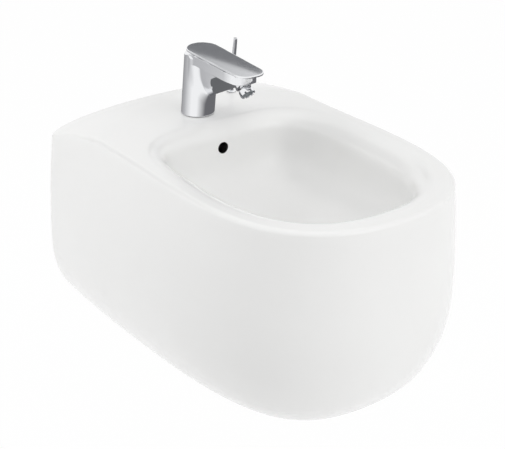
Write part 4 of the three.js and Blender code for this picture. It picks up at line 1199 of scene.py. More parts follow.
    def openings(self) -> list[tuple[Points, Faces]]:
        """Lists the holes that go through the skin.

        Returns:
            Closed shapes to take out of the body.
        """
        run = self.overrun
        y = -self.drain_from_wall
        seat = self.deck_level - self.bowl_depth - self.drain_recess[1]
        low = seat - self.drain_pad[1]
        cuts = [self.cylinder(self.drain_hole, (0, y, low - run), (0, y, seat + run))]
        trim = self.drain_pad[0] + run
        cuts.append(self.cylinder(trim, (0, y, low - 3 * run), (0, y, low)))
        cuts.append(self.tube(self.overflow_route(self.overflow_drop), self.channel_radius))
        level = self.deck_level - self.overflow_drop
        start = (0, -self.bowl_back - 3 * run, level)
        end = (0, -self.bowl_back + self.skin + self.channel_radius, level)
        cuts.append(self.cylinder(self.overflow_radius, start, end))
        deck = self.deck_level
        y = -self.tap_from_wall
        low = deck - self.tap_hole_cut
        cuts.append(self.cylinder(self.tap_hole, (0, y, low), (0, y, deck + run)))
        x, from_wall, radius = self.rod_hole
        down = 2 * self.deck_thickness
        lower = (x, -from_wall + down * self.rod_rake, deck - down)
        upper = (x, -from_wall - run * self.rod_rake, deck + run)
        cuts.append(self.cylinder(radius, lower, upper))
        for side in (-1, 1):
            x = side * self.stud_spacing / 2
            start = (x, -self.stud_pad[1] - run, 0)
            cuts.append(self.cylinder(self.stud_hole, start, (x, run, 0)))
        low = (-self.window_half_width, self.window_bottom)
        high = (self.window_half_width, self.window_top)
        ends = (-self.back_thickness - run, run)
        cuts.append(self.slot_prism(low, high, self.window_corner, 1, ends))
        low = (-self.hatch_half_width, -self.hatch_front)
        high = (self.hatch_half_width, -self.hatch_back)
        bottom = self.deck_level - self.height
        ends = (bottom + 2 * self.floor_thickness, bottom - run)
        cuts.append(self.slot_prism(low, high, self.hatch_corner, 2, ends))
        return cuts

    def build(self, shop: Shop) -> None:
        """Makes the body and takes out its hollow and holes.

        Args:
            shop: the frame and the finishes.
        """
        body = raw_object("glazed_body", *self.whole_skin())
        inner = self.skin_rows(
            self.hollow_plan_steps,
            self.hollow_section_steps,
            self.skin,
            self.floor_thickness,
            self.deck_thickness,
        )
        hollow = raw_object("hollow", *closed_skin(inner))
        carve(hollow, self.hollow_walls())
        carve(body, self.openings(), [hollow])
        smooth(body.data, self.sharp_degrees)
        # Painted shade goes on the faces inside the overflow's hole and channel.
        self.mark_painted_shade(body.data)
        shop.dress(body, Slot.GLAZE, "bidet", "ceramic_body")

    def mark_painted_shade(self, mesh: bpy.types.Mesh) -> None:
        """Marks the faces of the overflow's hole and channel, which the glaze material paints near
        black as painted shade for the dark inside of the hole.

        Args:
            mesh: the finished body.
        """
        count = len(mesh.polygons)
        middles = np.empty(count * 3)
        normals = np.empty(count * 3)
        mesh.polygons.foreach_get("center", middles)
        mesh.polygons.foreach_get("normal", normals)
        middles = middles.reshape(-1, 3) / METRES
        across = np.abs(normals.reshape(-1, 3)[:, 1]) < self.hole_slant
        level = self.deck_level - self.overflow_drop
        off = np.hypot(middles[:, 0], middles[:, 2] - level)
        ahead = -self.bowl_back + self.skin + self.channel_radius - middles[:, 1]
        along_hole = (ahead > 0) & (ahead < self.hole_reach)
        in_hole = across & along_hole & (off < self.overflow_radius + self.hole_slack)
        route = self.overflow_route(self.overflow_drop)
        nearest = np.full(count, np.inf)
        for start, end in zip(route, route[1:]):
            along = end - start
            share = np.clip((middles - start) @ along / (along @ along), 0, 1)
            away = np.linalg.norm(middles - start - share[:, None] * along, axis=1)
            nearest = np.minimum(nearest, away)
        marked = in_hole | (nearest < self.channel_radius + self.channel_slack)
        # The marked faces take the glaze material's painted shade.
        mark = mesh.attributes.new(GlazedChina.painted_shade_mark, "FLOAT", "FACE")
        mark.data.foreach_set("value", marked.astype(float))


def raw_object(name: str, points: Points, faces: Faces) -> bpy.types.Object:
    """Makes an object in metres whose faces all point outwards.

    Args:
        name: the object's name.
        points: its corners in millimetres.
        faces: the corners of each face.

    Returns:
        The linked object.
    """
    mesh = bpy.data.meshes.new(name)
    mesh.from_pydata((points * METRES).tolist(), [], faces)
    mesh.update()
    volume = 0.0
    for polygon in mesh.polygons:
        centre = polygon.center
        volume += centre.dot(polygon.normal) * polygon.area
    if volume < 0:
        mesh.flip_normals()
    piece = bpy.data.objects.new(name, mesh)
    bpy.context.scene.collection.objects.link(piece)
    return piece


def carve(
    body: bpy.types.Object,
    shapes: Sequence[tuple[Points, Faces]],
    objects: Sequence[bpy.types.Object] = (),
) -> None:
    """Takes closed shapes out of a body, and removes them.

    Args:
        body: the object that is cut.
        shapes: points and faces of each cutter.
        objects: cutters that are objects already.
    """
    cutters = list(objects)
    for number, (points, faces) in enumerate(shapes):
        cutters.append(raw_object(f"cutter_{number}", points, faces))
    for cutter in cutters:
        difference = body.modifiers.new("cut", "BOOLEAN")
        difference.operation = "DIFFERENCE"
        difference.solver = "MANIFOLD"
        difference.object = cutter
    graph = bpy.context.evaluated_depsgraph_get()
    result = bpy.data.meshes.new_from_object(body.evaluated_get(graph))
    body.modifiers.clear()
    body.data = result
    for cutter in cutters:
        bpy.data.objects.remove(cutter)


# Tap


@dataclass
class MixerBody:
    """The tap's casting: a raked column, and a spout whose keeled hull hangs under a flat band."""

    from_wall: float = 97
    deck_level: float = 85
    base: float = 0.45
    radius: float = 23.75
    rake: float = 0.137
    top: float = 95.2
    slope: float = 0.047
    reach: float = 131
    half_width_back: float = 22.8
    half_width_front: float = 21.2
    crease_drop: float = 14.3
    nose_radius: float = 14
    nose_length: float = 34
    crease_inset: float = 4.5
    eye_start: float = 27
    keel_start: tuple[float, float] = (62, 47.5)
    keel_slope: float = 0.488
    hull_power: float = 1.6
    cartridge_bore: float = 17.9
    cartridge_depth: float = 38
    lift_pin: tuple[float, float] = (8, 7.5)
    lever_gap: float = 0.5
    lift_clearance: float = 21.5
    lever_swing: float = 45
    ball: tuple[float, float] = (111, 73)
    tilt: float = 48
    relief: tuple[float, float] = (13.2, 1.75)
    socket_bore: tuple[float, float] = (11.7, 8.3)
    nose_guard: float = 0.01
    crease_rise_share: float = 0.35
    band_start: float = 9.875
    eye_length: float = 14
    least_hull: float = 2
    hull_overlap: float = 6
    band_edge: float = 1
    band_back_blend: float = 4
    hull_side_blend: float = 4
    hull_back_blend: float = 3
    column_blend: float = 6
    crease_blend: float = 1.6
    seam_blend: float = 0.2
    top_edge: float = 0.3
    foot_edge: float = 0.8
    cut_edge: float = 0.6
    relief_edge: float = 0.8
    socket_edge: float = 0.3
    search_margin: float = 3
    fine_step: float = 1.0

    def place(self) -> np.ndarray:
        """Says where the tap's own origin lies in the part's frame."""
        return np.array([0.0, -self.from_wall, self.deck_level])

    def over_axis(self, forward: np.ndarray, z: np.ndarray) -> tuple[np.ndarray, np.ndarray]:
        """Gives the distance forward of the cartridge axis and the height over the body's top.

        Args:
            forward: distance forward of the tap's base.
            z: height over the deck.

        Returns:
            The two distances.
        """
        angle = math.atan(self.slope)
        ahead = forward - self.rake * self.top
        above = z - self.top
        along = ahead * math.cos(angle) - above * math.sin(angle)
        height = ahead * math.sin(angle) + above * math.cos(angle)
        return along, height

    def field(self, points: Points) -> np.ndarray:
        """Gives the casting's field.

        Args:
            points: places in the tap's own frame, x, forward and height.

        Returns:
            A value that is negative inside the metal.
        """
        x = points[:, 0]
        f = points[:, 1]
        z = points[:, 2]
        column = np.hypot(x, f - self.rake * z) - self.radius
        share = np.clip((f - self.radius / 2) / (self.reach - self.radius / 2), 0, 1)
        half = self.half_width_back + (self.half_width_front - self.half_width_back) * share
        ahead_of_flank = np.maximum(f - (self.reach - self.nose_length), 0)
        flank = np.hypot(x, ahead_of_flank * half / self.nose_length) - half
        crease = self.crease(f)
        band = smooth_max(flank, crease - z, self.band_edge)
        band = smooth_max(band, self.band_start - f, self.band_back_blend)
        hull = self.hull(points, half, flank, crease)
        metal = smooth_min(column, hull, self.column_blend)
        metal = smooth_min(metal, band, self.crease_blend)
        metal = smooth_min(metal, column, self.seam_blend)
        ahead, height = self.over_axis(f, z)
        metal = smooth_max(metal, height, self.top_edge)
        metal = smooth_max(metal, self.base - z, self.foot_edge)
        metal = self.without_lever_room(metal, x, ahead, height)
        return self.without_socket(metal, x, f, z)

    def crease(self, f: np.ndarray) -> np.ndarray:
        """Gives the height of the line between the spout's band and its hull.

        Args:
            f: distance forward.

        Returns:
            The crease's height, which rises a little round the nose.
        """
        into_nose = f - (self.reach - self.nose_radius)
        into_nose = np.clip(into_nose, 0, self.nose_radius - self.nose_guard)
        rise = self.nose_radius - np.sqrt(self.nose_radius**2 - into_nose**2)
        lean = math.atan(self.slope)
        top_here = self.top - (f - self.rake * self.top) * math.tan(lean)
        return top_here - self.crease_drop / math.cos(lean) + self.crease_rise_share * rise

    def hull(
        self, points: Points, half: np.ndarray, flank: np.ndarray, crease: np.ndarray
    ) -> np.ndarray:
        """Gives the field of the keeled hull under the crease.

        Args:
            points: places in the tap's own frame.
            half: the spout's half width there.
            flank: how far outside the spout's side each place lies.
            crease: the height of the hull's upper edge.

        Returns:
            A value that is negative inside the hull.
        """
        x = points[:, 0]
        f = points[:, 1]
        z = points[:, 2]
        opening = np.clip((f - self.eye_start) / self.eye_length + 0.5, 0, 1)
        inset = self.crease_inset * opening * opening * (3 - 2 * opening)
        keel = self.keel_start[1] + self.keel_slope * (f - self.keel_start[0])
        hull_half = np.maximum(half - inset, self.least_hull)
        hull_depth = np.maximum(crease - keel, self.least_hull)
        down = (crease - z) / hull_depth
        across = np.abs(x) / hull_half
        power = self.hull_power
        roundness = np.power(across**power + np.maximum(down, 0) ** power, 1 / power)
        hull = (roundness - 1) * np.minimum(hull_half, hull_depth)
        hull = smooth_max(hull, flank + inset, self.hull_side_blend)
        hull = smooth_max(hull, (self.rake * z + self.radius / 3) - f, self.hull_back_blend)
        return np.maximum(hull, z - crease - self.hull_overlap)

    def without_lever_room(
        self, metal: np.ndarray, x: np.ndarray, ahead: np.ndarray, height: np.ndarray
    ) -> np.ndarray:
        """Takes the cartridge's bore and the lifted lever's room out of the field.

        Args:
            metal: the field so far.
            x: distance to the side.
            ahead: distance forward of the cartridge axis.
            height: height over the body's top.

        Returns:
            The field with both taken out.
        """
        pin_back, pin_down = self.lift_pin
        lift = math.radians(self.lift_clearance)
        distance = np.hypot(x, ahead)
        from_rear = np.abs(np.arctan2(x, -ahead))
        off = np.maximum(0, from_rear - math.radians(self.lever_swing))
        nearest = -distance * np.cos(np.minimum(off, math.pi))
        limit = (pin_down + self.lever_gap / 2) / math.cos(lift) - pin_down
        limit = limit + (nearest + pin_back) * math.tan(lift)
        metal = smooth_max(metal, (height - limit) * math.cos(lift), self.cut_edge)
        bore = np.maximum(distance - self.cartridge_bore, -self.cartridge_depth - height)
        return smooth_max(metal, -bore, self.cut_edge)

    def without_socket(
        self, metal: np.ndarray, x: np.ndarray, f: np.ndarray, z: np.ndarray
    ) -> np.ndarray:
        """Takes the aerator's socket and the room for its tilt out of the field.

        Args:
            metal: the field so far.
            x: distance to the side.
            f: distance forward.
            z: height.

        Returns:
            The field with the socket taken out.
        """
        tilt = math.radians(self.tilt)
        ahead = f - self.ball[0]
        above = z - self.ball[1]
        along = ahead * math.sin(tilt) - above * math.cos(tilt)
        off = ahead * math.cos(tilt) + above * math.sin(tilt)
        away = np.hypot(x, off)
        relief = np.maximum(away - self.relief[0], self.relief[1] - along)
        bore = np.maximum(away - self.socket_bore[0], -self.socket_bore[1] - along)
        metal = smooth_max(metal, -relief, self.relief_edge)
        return smooth_max(metal, -bore, self.socket_edge)

    def build(self, shop: Shop) -> None:
        """Makes the casting.

        Args:
            shop: the frame and the finishes.
        """
        margin = self.search_margin
        low = (-self.radius - margin, -self.radius - margin, self.base - margin)
        high = (self.radius + margin, self.reach + margin, self.top + margin)
        points, faces, normals = surface_of(self.field, low, high, self.fine_step)
        forward = np.array([1.0, -1.0, 1.0])
        points = points * forward + self.place()
        faces = [face[::-1] for face in faces]
        normals = normals * forward
        shop.piece("tap_casting", points, faces, normals, Slot.CHROME, "bidet", "mixer_body")


@dataclass
class Lever:
    """The lever: a thin crowned plate with a round back, soft front corners and a blunt nose."""

    mixer: MixerBody
    half_width: float = 23.5
    half_width_front: float = 21.4
    length: float = 124.5
    back_centre: float = 4
    thickness: float = 3.2
    crown: float = 0.4
    corner: float = 17
    bulge: float = 6
    edge: float = 1.0
    boss: tuple[float, float, float] = (7, 9, 6)
    boss_depth: float = 3.6
    boss_overlap: float = 1
    boss_blend: float = 0.6
    pocket: tuple[float, float, float] = (4.3, 1.8, 2.3)
    pocket_depth: float = 0.3
    screw_hole: float = 1.3
    screw_end: float = -1
    search_margins: tuple[float, float, float] = (2, 1, 3)
    fine_step: float = 0.8

    def field(self, points: Points) -> np.ndarray:
        """Gives the lever's field.

        Args:
            points: x, distance forward of the cartridge axis, and height over the body's top.

        Returns:
            A value that is negative inside the metal.
        """
        x = points[:, 0]
        a = points[:, 1]
        h = points[:, 2]
        share = np.clip(a / self.length, 0, 1)
        half = self.half_width + (self.half_width_front - self.half_width) * share
        back = np.hypot(x, np.minimum(a - self.back_centre, 0)) - half
        front = a - (self.length + self.bulge * (1 - (x / self.half_width) ** 2) / 2)
        plan = smooth_max(back, front, self.corner)
        gap = self.mixer.lever_gap
        crown = self.crown * (1 - np.clip(x / self.half_width, -1, 1) ** 2)
        top = h - (gap + self.thickness - self.crown + crown)
        plate = smooth_max(smooth_max(plan, top, self.edge), gap - h, self.edge / 2)
        side, ahead, behind = self.boss
        boss = np.maximum(np.abs(x) - side, np.maximum(a - ahead, -behind - a))
        boss_top = gap + self.boss_overlap
        boss = np.maximum(boss, np.maximum(gap - self.boss_depth - h, h - boss_top))
        side, ahead, behind = self.pocket
        pocket = np.maximum(np.abs(x) - side, np.maximum(a - ahead, -behind - a))
        pocket = np.maximum(pocket, h - gap - self.pocket_depth)
        screw = np.hypot(x, h - (gap - self.boss_depth / 2)) - self.screw_hole
        screw = np.maximum(screw, a - self.screw_end)
        metal = smooth_min(plate, boss, self.boss_blend)
        return np.maximum(metal, -np.minimum(pocket, screw))

    def build(self, shop: Shop) -> None:
        """Makes the lever.

        Args:
            shop: the frame and the finishes.
        """
        beside, below, beyond = self.search_margins
        wide = self.half_width + beside
        low = (-wide, self.back_centre - wide, -self.boss_depth - below)
        high = (wide, self.length + self.bulge + beyond, self.thickness + beyond)
        points, faces, normals = surface_of(self.field, low, high, self.fine_step)
        points = self.on_axis(points, 1.0)
        faces = [face[::-1] for face in faces]
        normals = self.on_axis(normals, 0.0)
        shop.piece("tap_lever", points, faces, normals, Slot.CHROME, "lever", "lever_handle")

    def on_axis(self, points: Points, move: float) -> Points:
        """Turns places about the cartridge axis to the part's frame.

        Args:
            points: x, distance forward and height over the body's top.
            move: one for points, zero for directions.

        Returns:
            The places in the part's frame.
        """
        angle = math.atan(self.mixer.slope)
        forward = points[:, 1] * math.cos(angle) + points[:, 2] * math.sin(angle)
        height = points[:, 2] * math.cos(angle) - points[:, 1] * math.sin(angle)
        forward = forward + move * self.mixer.rake * self.mixer.top
        height = height + move * self.mixer.top
        out = np.stack([points[:, 0], -forward, height], 1)
        return out + move * self.mixer.place()


# Turned fittings


def ring_skin(rows: Points) -> tuple[Points, Faces]:
    """Joins a stack of rings into a hollow piece, where the last ring meets the first.

    Args:
        rows: the rings, as rows by columns by three.

    Returns:
        The points and the faces.
    """
    count, columns, _ = rows.shape
    faces = grid_faces(count, columns)
    last = (count - 1) * columns
    for column in range(columns):
        beside = (column + 1) % columns
        faces.append((last + column, last + beside, beside, column))
    return rows.reshape(-1, 3), faces


def ball_line(radius: float, low: float, high: float, steps: int = 24) -> Profile:
    """Draws the side of a ball as a profile.

    Args:
        radius: the ball's radius.
        low: the height where the line starts.
        high: the height where it ends.
        steps: how many segments it has.

    Returns:
        Pairs of radius and height.
    """
    turns = np.linspace(math.asin(low / radius), math.asin(high / radius), steps + 1)
    return [(radius * math.cos(turn), radius * math.sin(turn)) for turn in turns]


@dataclass
class Turner:
    """Makes pieces whose profile runs round one axis."""

    shop: Shop
    place: Vector
    direction: Vector
    sides: int = 96
    sharp_degrees: float = 28

    def make(
        self,
        name: str,
        profile: Profile,
        slot: Slot,
        body: str,
        node: str,
        hollow: bool = True,
        cutters: Sequence[tuple[Points, Faces]] = (),
    ) -> None:
        """Makes one piece.

        Args:
            name: the piece's name.
            profile: pairs of radius and height along the axis.
            slot: the record's slot whose finish it takes.
            body: the moving body that it rides on.
            node: the solid that it stands for.
            hollow: whether the profile closes on itself, away from the axis.
            cutters: closed shapes to take out, drawn about the axis.
        """
        rows = turned(profile, self.sides)
        points, faces = ring_skin(rows) if hollow else closed_skin(rows)
        piece = raw_object(name, aimed(points, self.place, self.direction), faces)
        if cutters:
            moved = [(aimed(cut, self.place, self.direction), f) for cut, f in cutters]
            carve(piece, moved)
        smooth(piece.data, self.sharp_degrees)
        self.shop.dress(piece, slot, body, node)


def bar(
    low: tuple[float, float, float], high: tuple[float, float, float], turn: float
) -> tuple[Points, Faces]:
    """Draws a bar between two corners, turned about +Z.

    Args:
        low: its lowest corner.
        high: its highest corner.
        turn: the angle in radians.

    Returns:
        The points and the faces.
    """
    (x0, y0, z0), (x1, y1, z1) = low, high
    rows = [[(x0, y0, z), (x1, y0, z), (x1, y1, z), (x0, y1, z)] for z in (z0, z1)]
    points, faces = closed_skin(np.array(rows))
    return points @ np.array(Matrix.Rotation(turn, 3, "Z")).T, faces


@dataclass
class SwivelAerator:
    """The spout's ball joint with its knurled aerator."""

    mixer: MixerBody
    ball: float = 7
    neck: float = 4
    neck_end: float = 9.4
    gap: float = 0.3
    slide_gap: float = 0.5
    seat: tuple[float, float, float] = (9.6, 5, 3)
    socket: tuple[float, float, float] = (11.4, 8, 4.3)
    mouth: float = 8.6
    socket_floor: float = 5.8
    housing: tuple[float, float, float] = (10.2, 6.6, 17.2)
    shoulder: float = 9.2
    back_radius: float = 6.2
    wall: float = 1.7
    notches: int = 8
    notch: tuple[float, float] = (2.6, 2.2)
    notch_overrun: float = 1
    set_back: float = 0.8
    holes: tuple[int, float, float, float] = (8, 1.2, 5, 3)
    hole_sides: int = 24
    edges: tuple[float, float, float, float] = (0.2, 0.4, 0.7, 0.3)
    seam: float = 1

    def build(self, shop: Shop) -> None:
        """Makes the socket, the seat, the ball, the housing and the insert.

        Args:
            shop: the frame and the finishes.
        """
        forward, height = self.mixer.ball
        tilt = math.radians(self.mixer.tilt)
        place = Vector((0, -self.mixer.from_wall - forward, self.mixer.deck_level + height))
        turner = Turner(shop, place, Vector((0, -math.sin(tilt), -math.cos(tilt))))
        seat_edge, socket_edge, _, _ = self.edges
        seat_radius, seat_back, seat_front = self.seat
        bore = self.ball + self.slide_gap
        line = ball_line(bore, -seat_back, seat_front)
        line += rounded([(seat_radius, seat_front), (seat_radius, -seat_back)], seat_edge)
        turner.make("ball_seat_ring", line, Slot.GREY_PLASTIC, "seat_ring", "ball_seat")
        radius, back, front = self.socket
        inner = seat_radius + self.gap
        line = rounded([
            (inner, 0), (inner, seat_front + self.gap), (self.mouth, seat_front + self.gap),
            (self.mouth, front), (radius, front), (radius, -back), (self.socket_floor, -back),
            (self.socket_floor, -seat_back - self.gap), (inner, -seat_back - self.gap),
            (inner, -self.seam),
        ], socket_edge)
        turner.make("spout_socket", line, Slot.CHROME, "bidet", "swivel_socket")
        hole = self.neck / 2
        low = -math.sqrt(self.ball**2 - hole**2)
        high = math.sqrt(self.ball**2 - self.neck**2)
        line = ball_line(self.ball, low, high)
        line += [(self.neck, self.neck_end), (hole, self.neck_end)]
        turner.make("spout_ball", line, Slot.CHROME, "aerator", "swivel_ball")
        self.make_housing(turner)

    def make_housing(self, turner: Turner) -> None:
        """Makes the aerator's notched housing and its pierced insert.

        Args:
            turner: makes pieces about the aerator's axis.
        """
        _, _, cap_edge, plate_edge = self.edges
        radius, start, end = self.housing
        inside = radius - self.wall
        clear = self.neck + self.gap
        line = rounded([
            (clear, start + self.seam), (clear, start), (self.back_radius, start),
            (radius, self.shoulder), (radius, end), (inside, end),
            (inside, self.shoulder + self.gap), (clear, self.shoulder - self.gap),
            (clear, self.shoulder - self.seam),
        ], cap_edge)
        width, depth = self.notch
        cuts = []
        for number in range(self.notches):
            turn = 2 * math.pi * number / self.notches
            low = (inside - self.wall, -width / 2, end - depth)
            high = (radius + self.notch_overrun, width / 2, end + self.notch_overrun)
            cuts.append(bar(low, high, turn))
        turner.make("aerator_cap", line, Slot.CHROME, "aerator", "aerator_housing", cutters=cuts)
        rim = inside - self.slide_gap
        face = end - self.set_back
        back = self.neck_end + self.gap
        line = rounded([(NEAR_AXIS, back), (rim, back), (rim, face), (NEAR_AXIS, face)], plate_edge)
        count, hole, circle, deep = self.holes
        cuts = []
        for number in range(count):
            turn = 2 * math.pi * number / count
            line_in = [(hole, face - deep), (hole, face + self.notch_overrun)]
            points, faces = closed_skin(turned(line_in, self.hole_sides))
            move = np.array([circle * math.cos(turn), circle * math.sin(turn), 0])
            cuts.append((points + move, faces))
        piece = ("aerator_jet_plate", line, Slot.GREY_PLASTIC, "aerator", "aerator_insert")
        turner.make(*piece, hollow=False, cutters=cuts)


@dataclass
class LiftRod:
    """The waste's lift rod and the bush that guides it through the deck."""

    right: float = 87
    from_wall: float = 54
    deck_level: float = 85
    rake: float = 0.137
    radius: float = 2.9
    above: float = 85
    below: float = 78
    bush: tuple[float, float, float] = (5.2, 6.8, 1.6)
    bush_crown: tuple[float, float] = (1.4, 1.9)
    deck_thickness: float = 14
    gap: float = 0.3
    rod_edge: float = 0.5
    bush_edge: float = 0.3
    seam: float = 1

    def build(self, shop: Shop) -> None:
        """Makes the rod and the bush.

        Args:
            shop: the frame and the finishes.
        """
        place = Vector((self.right, -self.from_wall, self.deck_level))
        turner = Turner(shop, place, Vector((0, -self.rake, 1)).normalized())
        line = rounded([
            (NEAR_AXIS, -self.below), (self.radius, -self.below), (self.radius, self.above),
            (NEAR_AXIS, self.above),
        ], self.rod_edge)
        turner.make("waste_lift_rod", line, Slot.CHROME, "lift", "lift_rod", hollow=False)
        radius, flange, thickness = self.bush
        rim, crown = (share * thickness for share in self.bush_crown)
        bore = self.radius + self.gap
        low = -self.deck_thickness
        line = rounded([
            (bore, 0), (bore, low), (radius, low), (radius, thickness), (flange, thickness),
            (flange, rim), (bore, crown), (bore, self.seam),
        ], self.bush_edge)
        turner.make("rod_bush", line, Slot.CHROME, "bidet", "deck_bush")


@dataclass
class TapGasket:
    """The rubber ring under the tap, pressed thin by it."""

    mixer: MixerBody
    inner: float = 18
    outer: float = 22.6
    clearance: float = 0.05

    def build(self, shop: Shop) -> None:
        """Makes the ring.

        Args:
            shop: the frame and the finishes.
        """
        turner = Turner(shop, Vector(self.mixer.place()), Vector((0, 0, 1)))
        low = self.clearance
        high = self.mixer.base - self.clearance
        line = [(self.inner, low), (self.outer, low), (self.outer, high), (self.inner, high)]
        turner.make("tap_gasket", line, Slot.BLACK_RUBBER, "bidet", "base_gasket")


# Studio


@dataclass(frozen=True)
class Softbox:
    """A big soft lamp, placed by its direction from the object, as a compass bearing is."""

    name: str
    azimuth: float
    height: float
    distance: float
    size: float
    power: float


def towards(bearing: float, elevation: float = 0.0) -> Vector:
    """Gives the direction of a bearing and an elevation.

    Args:
        bearing: degrees from the bidet's front, growing towards its right.
        elevation: degrees above level.

    Returns:
        A direction of length one.
    """
    turn = math.radians(bearing)
    rise = math.radians(elevation)
    level = Vector((math.sin(turn), -math.cos(turn), 0))
    return level * math.cos(rise) + Vector((0, 0, math.sin(rise)))


@dataclass(frozen=True)
class LyingFlag:
    """A dark card under the spout that only mirrors see, as photographers set by bright metal."""

    name: str
    level: float
    outline: tuple[tuple[float, float], ...]
    colour: str = "#6b6c6e"
    right_colour: str = "#6b6c6e"

    def corners(self) -> list[Vector]:
        """Gives the corners in metres, from an outline in the part's x and y."""
        return [Vector((x, y, self.level)) for x, y in self.outline]


@dataclass(frozen=True)
class HungFlag:
    """A card that hangs square to the line from the tap's lever, and that only mirrors see."""

    name: str
    bearing: float
    elevation: float
    distance: float
    outline: tuple[tuple[float, float], ...]
    colour: str
    right_colour: str
    lever: tuple[float, float, float] = (0, -0.17, 0.18)

    def corners(self) -> list[Vector]:
        """Gives the corners in metres, from an outline to the right and up of its middle."""
        away = towards(self.bearing, self.elevation)
        right = away.cross(Vector((0, 0, 1))).normalized()
        up = right.cross(away)
        place = Vector(self.lever) + away * self.distance
        return [place + right * x + up * y for x, y in self.outline]


@dataclass(frozen=True)
class Fan:
    """A card that lies round the tap's foot, toned in rays as its column mirrors them.

    It is a white window between a grey card on the left and a dark one on the right.
    """

    name: str = "fan_card"
    middle: tuple[float, float, float] = (0, -0.0975, 0.0861)
    foot: float = 0.0245
    length: float = 0.32
    sight: float = -35.36
    steps: int = 120
    tones: tuple[tuple[float, str], ...] = (
        (-125, "#88888a"),
        (-90, "#bcbcbe"),
        (-60, "#ffffff"),
        (-40, "#ffffff"),
        (-10, "#707073"),
        (55, "#707073"),
    )

    def tone(self, bearing: float) -> tuple[float, float, float, float]:
        """Gives the colour that the column mirrors.

        Args:
            bearing: where the column's surface faces, in degrees.

        Returns:
            The linear colour, between the tones beside that bearing.
        """
        degrees = [degree for degree, _ in self.tones]
        channels = zip(*(linear(colour) for _, colour in self.tones))
        return tuple(float(np.interp(bearing, degrees, channel)) for channel in channels)


